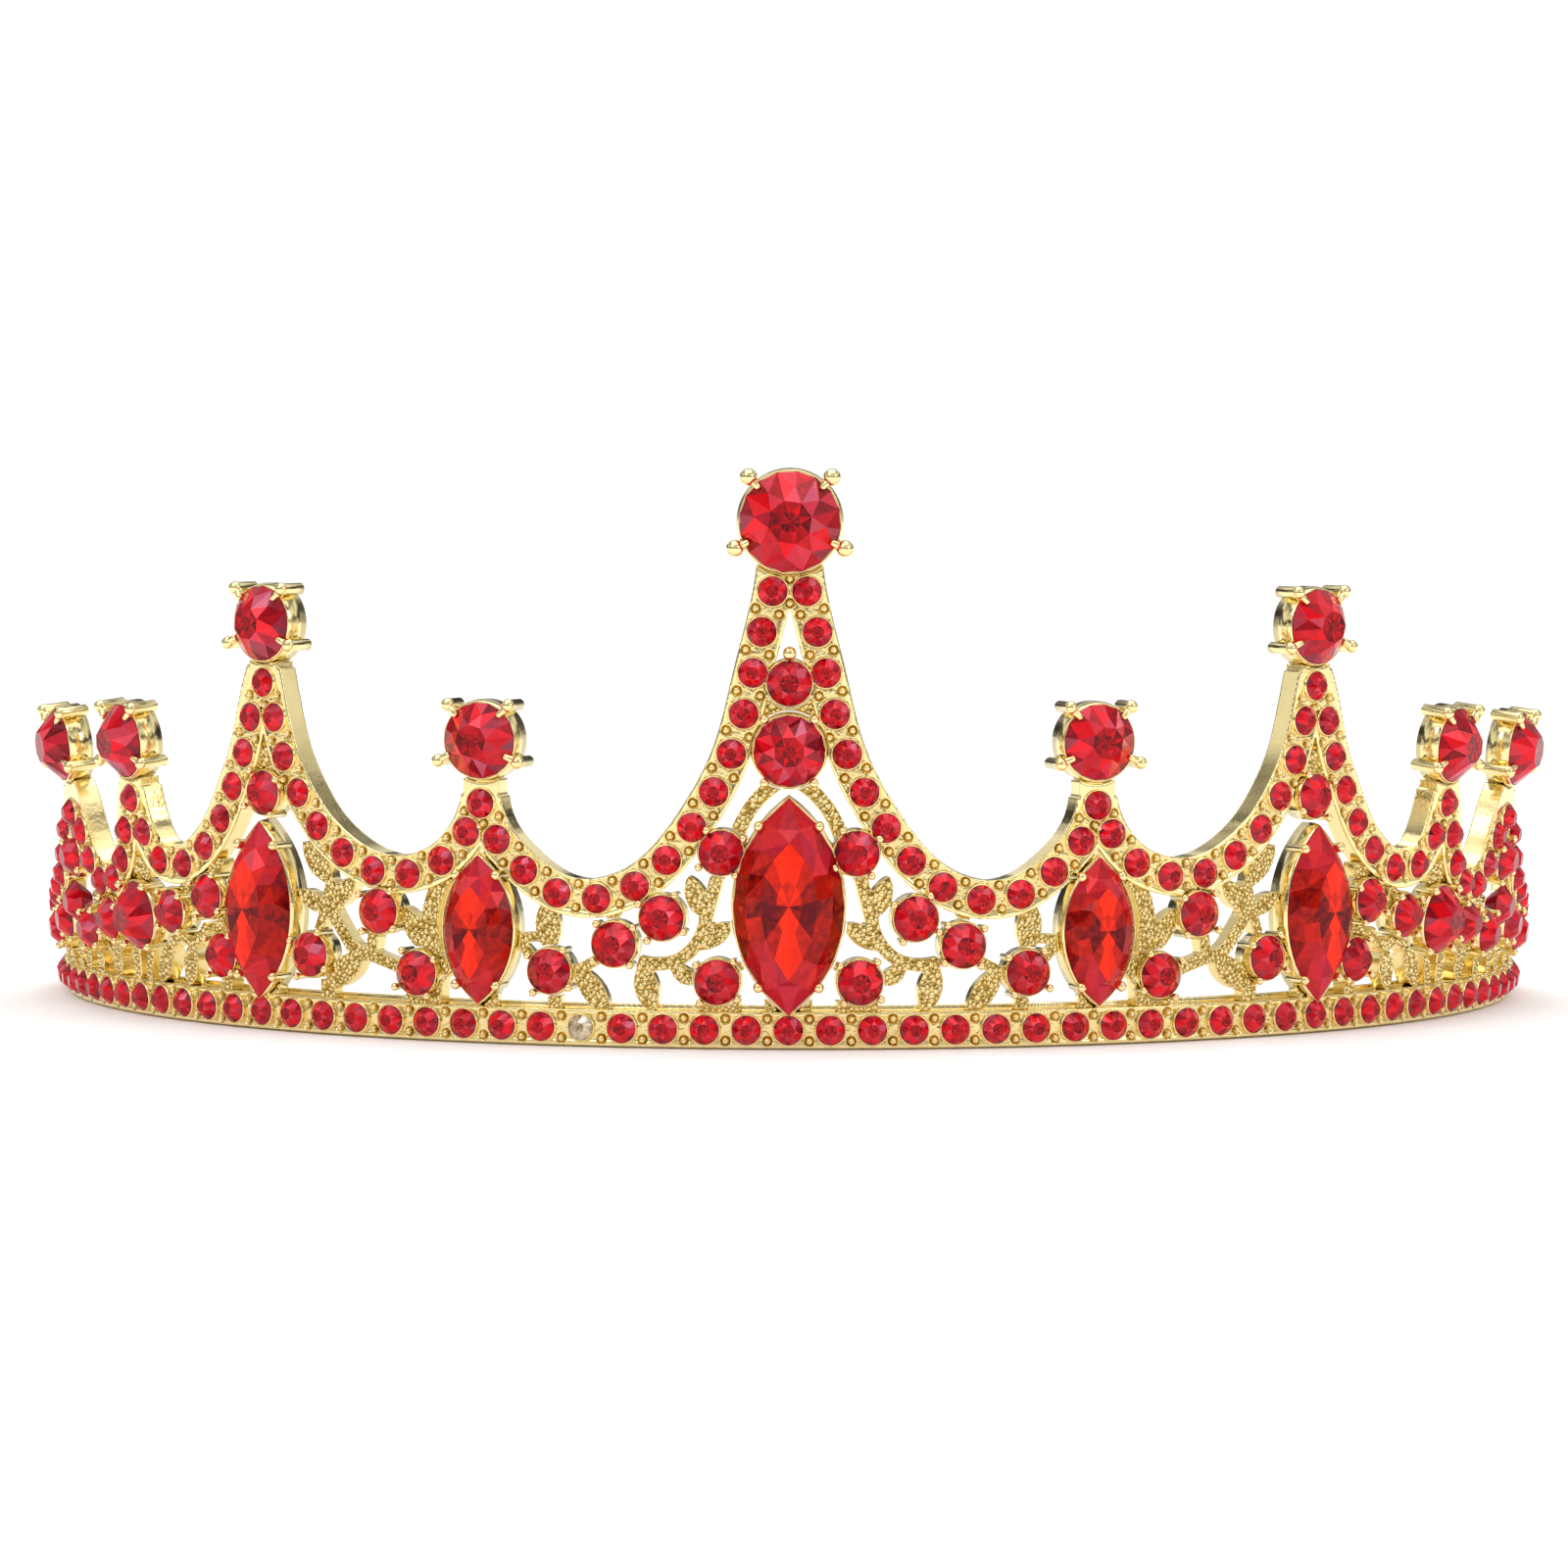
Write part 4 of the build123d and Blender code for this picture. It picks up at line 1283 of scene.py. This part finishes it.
@dataclass
class Settings:
    """Cups, collars, prongs and beads that hold the stones."""

    cup_wall: float = 0.24 * MM
    large_cup_wall: float = 0.3 * MM
    cup_back: float = -2.4 * MM
    cup_rim: float = -0.04 * MM
    collar_wall: float = 0.1 * MM
    collar_foot: float = -0.9 * MM
    bead_radius: float = 0.33 * MM
    grip_foot: float = -2.0 * MM
    grip_post: float = 0.8

    def cup(self, draft: Draft, seat: Seat, back: float, wall: float) -> None:
        """Adds a round cup with a rolled rim.

        Args:
            draft: the mesh to add to.
            seat: the stone's seat.
            back: the height of its back.
            wall: the wall's thickness.
        """
        inside = seat.half_width + 0.01 * MM
        rim = self.cup_rim
        profile = [
            (inside - 0.3 * MM, back), (inside + wall, back), (inside + wall, rim - 3.0 * wall),
            (inside + 0.75 * wall, rim - 1.3 * wall), (inside + 0.4 * wall, rim - 0.3 * wall),
            (inside + 0.2 * wall, rim), (inside + 0.02 * wall, rim - 0.1 * wall),
            (inside - 0.05 * MM, rim - 0.5 * wall), (inside - 0.05 * MM, -0.3 * MM),
            (inside - 0.3 * MM, -0.5 * MM),
        ]
        draft.add(*lathe(profile, 48, closed=True), seat.matrix)

    def collar(self, draft: Draft, seat: Seat) -> None:
        """Adds the thin collar that stands round a small stone in its channel.

        Args:
            draft: the mesh to add to.
            seat: the stone's seat.
        """
        inside = seat.half_width
        wall = self.collar_wall
        profile = [
            (inside + 0.02 * MM, self.collar_foot), (inside + 2.2 * wall, self.collar_foot),
            (inside + 1.6 * wall, -0.2 * MM),
            (inside + wall, -0.08 * MM), (inside + 0.3 * wall, -0.05 * MM), (inside - 0.02 * MM, -0.12 * MM),
        ]
        draft.add(*lathe(profile, 32, closed=True), seat.matrix)

    def prong(self, draft: Draft, place: Matrix, low: float, high: float, radius: float, tip: float) -> None:
        """Adds a prong: a post with a ball tip.

        Args:
            draft: the mesh to add to.
            place: its axis, as a matrix.
            low: the height of its foot.
            high: the height of its ball's middle.
            radius: the post's radius.
            tip: the ball's radius.
        """
        neck = math.asin(min(1.0, radius / tip))
        profile = [(0.0, low - 0.3 * radius), (0.6 * radius, low - 0.2 * radius),
                   (radius, low + 0.15 * radius)]
        steps = 8
        start = -math.pi / 2 + neck
        for step in range(steps + 1):
            turn = start + (math.pi / 2 - start) * step / steps
            profile.append((tip * math.cos(turn) if step < steps else 0.0, high + tip * math.sin(turn)))
        draft.add(*lathe(profile, 20), place)

    def claw(self, draft: Draft, start: Vector, end: Vector, radius: float) -> None:
        """Adds a short round bar between two points.

        Args:
            draft: the mesh to add to.
            start: its first end.
            end: its second end.
            radius: its radius.
        """
        run = end - start
        length = run.length
        profile = [(0.0, -0.6 * radius), (0.7 * radius, -0.4 * radius), (radius, 0.0), (0.8 * radius, length),
                   (0.5 * radius, length + 0.5 * radius), (0.0, length + 0.65 * radius)]
        draft.add(*lathe(profile, 14), align(start, run.normalized()))

    def bead(self, draft: Draft, place: Vector, axis: Vector, radius: float) -> None:
        """Adds a round bead sunk in the metal.

        Args:
            draft: the mesh to add to.
            place: the ball's middle.
            axis: the outward direction.
            radius: the ball's radius.
        """
        profile = [(0.0, -radius), (0.7 * radius, -0.7 * radius)] + ball_profile(radius, 0.0)
        draft.add(*lathe(profile, 14), align(place, axis))

    def grips(self, draft: Draft, seat: Seat, grips: GripSet, turned: float = 0.0) -> None:
        """Adds ball-tipped grips round a stone.

        Args:
            draft: the mesh to add to.
            seat: the stone's seat.
            grips: the grips' places and sizes.
            turned: how far the whole set is turned, in degrees.
        """
        for angle in grips.angles:
            turn = math.radians(angle + turned)
            shift = Vector((math.cos(turn), math.sin(turn), 0.0)) * (seat.half_width + grips.reach)
            place = seat.matrix @ Matrix.Translation(shift)
            self.prong(draft, place, self.grip_foot, grips.lift, self.grip_post * grips.radius, grips.radius)


@dataclass
class PeakSetting:
    """The four long prongs and the cup of a stone on a peak."""

    angles: tuple = (47.0, 133.0, -26.0, 206.0)
    reach: float = 1.05 * MM
    foot: float = -2.6 * MM
    front: float = 0.3 * MM
    post: float = 0.62 * MM
    tip: float = 0.7 * MM
    hold_in: float = 0.35 * MM
    hold_lift: float = 0.62 * MM
    hold_radius: float = 0.42 * MM
    claw_heights: tuple = (-1.9 * MM, 0.1 * MM)
    deeper: float = 0.2 * MM

    def build(self, draft: Draft, seat: Seat, settings: Settings) -> None:
        """Adds the setting.

        Args:
            draft: the mesh to add to.
            seat: the stone's seat.
            settings: the shared setting shapes.
        """
        settings.cup(draft, seat, settings.cup_back - self.deeper, settings.large_cup_wall)
        for angle in self.angles:
            turn = math.radians(angle)
            out = Vector((math.cos(turn), math.sin(turn), 0.0))
            shift = out * (seat.half_width + self.reach)
            place = seat.matrix @ Matrix.Translation(shift)
            settings.prong(draft, place, self.foot, self.front, self.post, self.tip)
            for height in self.claw_heights:
                inner = seat.matrix @ (out * (seat.half_width + 0.1 * MM) + Vector((0, 0, height)))
                outer = seat.matrix @ (shift + Vector((0, 0, height)))
                settings.claw(draft, outer, inner, 0.85 * self.post)
            tip = seat.matrix @ (shift + Vector((0, 0, self.front)))
            hold = seat.matrix @ (out * (seat.half_width - self.hold_in) + Vector((0, 0, self.hold_lift)))
            settings.claw(draft, tip, hold, self.hold_radius)


CENTRE_PEAK_SETTING = PeakSetting(post=0.7 * MM, tip=0.9 * MM)


@dataclass
class MarquiseSetting:
    """The boat-shaped cup of a marquise stone, with ball grips at its shoulders."""

    wall: float = 0.3 * MM
    back: float = -2.6 * MM
    rim: float = -0.03 * MM
    grip_share: float = 0.74
    grip_radius: float = 0.55 * MM
    grip_lift: float = 0.45 * MM
    steps: int = 20

    def outline(self, seat: Seat, grow: float) -> list[tuple[float, float]]:
        """Marquise outline grown by a distance.

        Args:
            seat: the stone's seat.
            grow: the distance, in metres.

        Returns:
            Points round the outline, anticlockwise.
        """
        width, length = seat.half_width + grow, seat.half_length + 0.8 * grow
        bow = (length**2 + width**2) / (2 * width)
        sweep = math.asin(length / bow)
        right = [(bow * math.cos(sweep * t) + width - bow, bow * math.sin(sweep * t))
                 for t in np.linspace(-1, 1, self.steps + 1)]
        return right[:-1] + [(-x, -y) for x, y in right[:-1]]

    def build(self, draft: Draft, seat: Seat, settings: Settings) -> None:
        """Adds the setting.

        Args:
            draft: the mesh to add to.
            seat: the stone's seat.
            settings: the shared setting shapes.
        """
        layers = [
            (-0.4 * MM, self.back), (self.wall, self.back), (self.wall, self.rim - 1.1 * MM),
            (0.7 * self.wall, self.rim - 0.5 * MM), (0.25 * self.wall, self.rim), (0.0, self.rim - 0.06 * MM),
            (-0.02 * MM, -0.3 * MM), (-0.4 * MM, -0.6 * MM),
        ]
        points, rows = [], []
        for grow, height in layers:
            outline = self.outline(seat, grow)
            rows.append([len(points) + i for i in range(len(outline))])
            points.extend((x, y, height) for x, y in outline)
        faces = []
        for low, high in zip(rows, rows[1:] + rows[:1]):
            for i in range(len(low)):
                after = (i + 1) % len(low)
                faces.append((low[i], low[after], high[after], high[i]))
        draft.add(points, faces, seat.matrix)
        edge = self.outline(seat, self.wall)
        for sx, sy in product((-1, 1), repeat=2):
            height = sy * self.grip_share * seat.half_length
            x = min((abs(p[1] - height), p[0]) for p in edge if p[0] > 0)[1]
            place = seat.matrix @ Matrix.Translation(Vector((sx * (x + 0.3 * self.grip_radius), height, 0.0)))
            post = settings.grip_post * self.grip_radius
            settings.prong(draft, place, settings.grip_foot, self.grip_lift, post, self.grip_radius)


# ---------------------------------------------------------------- the tiara


@dataclass
class Tiara:
    """The whole piece, built node by node around the frame."""

    dresser: Dresser
    nodes: dict
    plan: WallPlan = field(default_factory=WallPlan)
    settings: Settings = field(default_factory=Settings)
    cutter: StoneCutter = field(default_factory=StoneCutter)
    rail_row: BeadRow = BeadRow(1.22 * MM, 1.7 * MM)
    band_row: BeadRow = BeadRow(1.12 * MM, 1.5 * MM)
    longest_link: float = 5.2 * MM
    bead_sink: float = 0.22 * MM
    voxel: float = 0.11 * MM
    leaf_passes: int = 3
    rail_passes: int = 4
    cup_reach: float = 4.0 * MM
    seats: dict = field(default_factory=dict)
    materials: dict = field(default_factory=dict)

    STONES = {
        "band_stones": (Slot.RUBY, Cut.CHATON),
        "rail_stones": (Slot.RUBY, Cut.CHATON),
        "medium_round_stones": (Slot.RUBY, Cut.CHATON),
        "large_round_stones": (Slot.RUBY, Cut.FANCY_CHATON),
        "peak_stones": (Slot.RUBY, Cut.FANCY_CHATON),
        "centre_peak_stone": (Slot.RUBY, Cut.FANCY_CHATON),
        "centre_marquise_stone": (Slot.MARQUISE, Cut.MARQUISE),
        "inner_marquise_stones": (Slot.MARQUISE, Cut.MARQUISE),
        "outer_marquise_stones": (Slot.MARQUISE, Cut.MARQUISE),
        "clear_band_stone": (Slot.PALE, Cut.CHATON),
    }

    def prepare(self) -> None:
        """Reads every stone's seat and makes the materials."""
        self.materials = {slot: finish.make(self.dresser) for slot, finish in FINISHES.items()}
        for name in self.STONES:
            self.seats[name] = [seat_of(*solid) for solid in solids_in(self.nodes[name])]
            LOG.info("read %d seats from %s", len(self.seats[name]), name)

    def keep(self, made: bpy.types.Object, slot: Slot, *replaced: str) -> None:
        """Puts a piece on the tiara's body, and hides the nodes it stands for.

        Args:
            made: the piece.
            slot: its material slot; not used.
            replaced: the CAD nodes that it stands for.
        """
        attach(made, BODY)
        if replaced:
            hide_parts(*replaced)
        LOG.info("built %s with %d faces", made.name, len(made.data.polygons))

    def cut_stones(self) -> None:
        """Cuts all the stones."""
        for name, (slot, cut) in self.STONES.items():
            made = self.cutter.cut(f"{name}_cut", self.seats[name], cut, self.materials[slot])
            self.keep(made, slot, name)

    def cast_parts(self) -> None:
        """Casts the band, the arches, the sprays and the loops from their CAD nodes."""
        middle = self.plan.middle()
        rail = chain(self.seats["rail_stones"], middle, self.longest_link)
        band = chain(self.seats["band_stones"] + self.seats["clear_band_stone"], middle, self.longest_link)
        for name, node in sorted(self.nodes.items()):
            if name.endswith("_spray") or name == "centre_web":
                made = casting(node, f"{name}_casting", self.voxel, self.leaf_passes)
                Milling().press(made, self.plan)
                made.data.materials.append(self.materials[Slot.MILLED])
                self.keep(made, Slot.MILLED, name)
            elif name.endswith("_arch") or name == "base_band" or name.endswith("_loop"):
                made = casting(node, f"{name}_casting", self.voxel, self.rail_passes)
                if name == "base_band":
                    self.band_row.press(made, band)
                elif name.endswith("_arch"):
                    self.rail_row.press(made, rail)
                made.data.materials.append(self.materials[Slot.POLISHED])
                self.keep(made, Slot.POLISHED, name)

    def set_beads(self) -> None:
        """Sets the pairs of beads between neighbouring stones, and the collars round the small stones."""
        middle = self.plan.middle()
        gold = self.materials[Slot.POLISHED]
        groups = {
            "rail": (self.seats["rail_stones"], self.rail_row),
            "band": (self.seats["band_stones"] + self.seats["clear_band_stone"], self.band_row),
        }
        for name, (seats, row) in groups.items():
            beads, collars = Draft(), Draft()
            for place, axis in row.places(chain(seats, middle, self.longest_link)):
                self.settings.bead(beads, place - axis * self.bead_sink, axis, self.settings.bead_radius)
            for seat in seats:
                self.settings.collar(collars, seat)
            self.keep(beads.build(f"{name}_beads", gold, smooth=True), Slot.POLISHED)
            self.keep(collars.build(f"{name}_collars", gold, smooth=True), Slot.POLISHED)

    def seat_for(self, name: str, pool: list[Seat]) -> list[Seat]:
        """Stones of a pool that sit in a cup node's solids.

        Args:
            name: the cup node's name.
            pool: the seats to choose from.

        Returns:
            The seats whose middles lie nearest to the node's solids.
        """
        found = []
        for points, _ in solids_in(self.nodes[name]):
            centre = Vector((points.min(axis=0) + points.max(axis=0)) / 2)
            nearest = min(pool, key=lambda seat: (seat.centre - centre).length)
            if nearest not in found and (nearest.centre - centre).length < self.cup_reach:
                found.append(nearest)
        return found

    def make_settings(self) -> None:
        """Makes the cups and prongs of every larger stone."""
        gold = self.materials[Slot.POLISHED]
        medium = self.seats["medium_round_stones"]
        large = self.seats["large_round_stones"]
        peaks = self.seats["peak_stones"] + self.seats["centre_peak_stone"]
        marquises = [seat for name in self.STONES if "marquise" in name for seat in self.seats[name]]
        for name in sorted(self.nodes):
            draft = Draft()
            if name.endswith("_bay_cups"):
                for index, seat in enumerate(self.seat_for(name, medium)):
                    self.settings.cup(draft, seat, self.settings.cup_back, self.settings.cup_wall)
                    turned = BAY_GRIP_TURNS[index % len(BAY_GRIP_TURNS)]
                    self.settings.grips(draft, seat, BAY_GRIPS, turned)
            elif name == "centre_small_cup":
                for seat in self.seat_for(name, medium):
                    self.settings.cup(draft, seat, self.settings.cup_back, self.settings.cup_wall)
                    self.settings.grips(draft, seat, SMALL_CUP_GRIPS)
            elif name.endswith("_round_cup") or name == "centre_large_cup":
                for seat in self.seat_for(name, large):
                    self.settings.cup(draft, seat, self.settings.cup_back, self.settings.large_cup_wall)
                    self.settings.grips(draft, seat, LARGE_CUP_GRIPS)
            elif name.endswith("_peak_basket"):
                peak = CENTRE_PEAK_SETTING if name.startswith("centre") else PeakSetting()
                for seat in self.seat_for(name, peaks):
                    peak.build(draft, seat, self.settings)
            elif name.endswith("_marquise_cup"):
                for seat in self.seat_for(name, marquises):
                    MarquiseSetting().build(draft, seat, self.settings)
            else:
                continue
            self.keep(draft.build(f"{name}_setting", gold, smooth=True), Slot.POLISHED, name)


# ---------------------------------------------------------------- stage, light and camera


@dataclass
class Studio:
    """Plain pale floor, soft light and the camera."""

    floor_size: float = 12.0
    floor_drop: float = 0.2 * MM
    floor_tone: float = 0.96
    world_light: float = 1.07
    band_scale: float = 0.5
    band_start: float = 0.34
    band_wander: float = 0.32
    band_noise: float = 2.6
    camera_distance: float = 0.8
    elevation: float = 4.86
    lens: float = 163.2
    pitch: float = 3.3823
    yaw: float = 0.0419
    roll: float = 0.19
    mirrored: tuple = (
        (0.0, 0.75), (0.36, 0.7), (0.41, 0.03), (0.455, 0.1), (0.47, 0.6), (0.54, 0.55), (0.57, 0.04),
        (0.63, 0.05), (0.68, 0.95), (0.78, 0.5), (0.84, 0.1), (0.9, 1.3), (1.0, 1.3),
    )

    def floor(self) -> None:
        """Lays the floor."""
        half = self.floor_size / 2
        corners = ((-half, -half), (half, -half), (half, half), (-half, half))
        draft = Draft()
        draft.add([(x, y, -self.floor_drop) for x, y in corners], [(0, 1, 2, 3)])
        material = bpy.data.materials.new("pale_floor")
        material.use_nodes = True
        shader = material.node_tree.nodes["Principled BSDF"]
        shader.inputs["Base Color"].default_value = (self.floor_tone, self.floor_tone, self.floor_tone, 1.0)
        shader.inputs["Roughness"].default_value = 0.9
        shader.inputs["Specular IOR Level"].default_value = 0.1
        made = draft.build("pale_floor", material, smooth=False)

    def world(self) -> None:
        """Sets the white surroundings, with darker bands for the metal to mirror."""
        world = bpy.data.worlds.new("studio")
        bpy.context.scene.world = world
        world.use_nodes = True
        sky = Wiring(world.node_tree)
        sky.tree.nodes.clear()
        out = sky.node("OutputWorld")
        plain = sky.node("Background")
        plain.inputs["Color"].default_value = (1.0, 1.0, 1.0, 1.0)
        plain.inputs["Strength"].default_value = self.world_light
        mirrored = sky.node("Background")
        mirrored.inputs["Strength"].default_value = 1.0
        place = sky.node("TexCoord").outputs["Generated"]
        split = sky.node("SeparateXYZ")
        sky.link(place, split.inputs[0])
        height = sky.node("Math", operation="MULTIPLY_ADD")
        height.inputs[1].default_value = self.band_scale
        height.inputs[2].default_value = self.band_start
        sky.link(split.outputs["Z"], height.inputs[0])
        shifted = sky.node("Math", operation="MULTIPLY_ADD")
        shifted.inputs[1].default_value = self.band_wander
        sky.link(sky.noise(place, self.band_noise, 2.0), shifted.inputs[0])
        sky.link(height.outputs[0], shifted.inputs[2])
        ramp = sky.node("ValToRGB")
        while len(ramp.color_ramp.elements) < len(self.mirrored):
            ramp.color_ramp.elements.new(0.5)
        for element, (height_share, value) in zip(ramp.color_ramp.elements, self.mirrored):
            element.position = height_share
            element.color = (value, value, value, 1.0)
        sky.link(shifted.outputs[0], ramp.inputs[0])
        sky.link(ramp.outputs[0], mirrored.inputs["Color"])
        mix = sky.node("MixShader")
        sky.link(sky.node("LightPath").outputs["Is Glossy Ray"], mix.inputs[0])
        sky.link(plain.outputs[0], mix.inputs[1])
        sky.link(mirrored.outputs[0], mix.inputs[2])
        sky.link(mix.outputs[0], out.inputs["Surface"])

    def lamp(self, name: str, place: tuple, aim: tuple, size: float, power: float) -> None:
        """Adds a soft square lamp.

        Args:
            name: its name.
            place: where it stands.
            aim: what it points at.
            size: its side.
            power: its power in watts.
        """
        data = bpy.data.lights.new(name, "AREA")
        data.shape = "SQUARE"
        data.size = size
        data.energy = power
        made = bpy.data.objects.new(name, data)
        made.location = place
        made.rotation_euler = (Vector(aim) - Vector(place)).to_track_quat("-Z", "Y").to_euler()
        bpy.context.scene.collection.objects.link(made)

    def lamps(self) -> None:
        """Adds the lamps."""
        self.lamp("key", (-0.6, -0.75, 0.85), (0.0, -0.02, 0.03), 0.45, 1.8)
        self.lamp("fill", (0.8, -0.6, 0.45), (0.0, -0.02, 0.03), 0.4, 1.2)
        self.lamp("top", (0.0, 0.1, 1.1), (0.0, 0.0, 0.0), 0.8, 2.0)

    def camera(self, middle: Vector) -> None:
        """Places the camera.

        Args:
            middle: the middle of the plan at the band's own height.
        """
        data = bpy.data.cameras.new("camera")
        data.lens = self.lens
        data.sensor_width = 36.0
        data.clip_end = 20.0
        made = bpy.data.objects.new("camera", data)
        rise = math.radians(self.elevation)
        reach = self.camera_distance
        made.location = middle + Vector((0.0, -reach * math.cos(rise), reach * math.sin(rise)))
        turn = Matrix.Rotation(math.radians(self.yaw), 3, "Z")
        turn = turn @ Matrix.Rotation(math.radians(90.0 - self.pitch), 3, "X")
        turn = turn @ Matrix.Rotation(math.radians(self.roll), 3, "Z")
        made.rotation_euler = turn.to_euler()
        bpy.context.scene.collection.objects.link(made)
        bpy.context.scene.camera = made

    def build(self, middle: Vector) -> None:
        """Builds the studio round the tiara.

        Args:
            middle: the middle of the plan at the band's own height.
        """
        self.floor()
        self.world()
        self.lamps()
        self.camera(middle)
        bpy.context.scene.view_settings.view_transform = "Standard"


def main() -> None:
    """Builds every class in order."""
    logging.basicConfig(level=logging.INFO, format="%(message)s")
    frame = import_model()
    tiara = Tiara(Dresser(), frame["nodes"])
    tiara.prepare()
    tiara.cast_parts()
    tiara.set_beads()
    tiara.make_settings()
    tiara.cut_stones()
    middle = tiara.plan.middle()
    middle.z = BAND_MIDDLE
    Studio().build(middle)


if __name__ == "__main__":
    main()
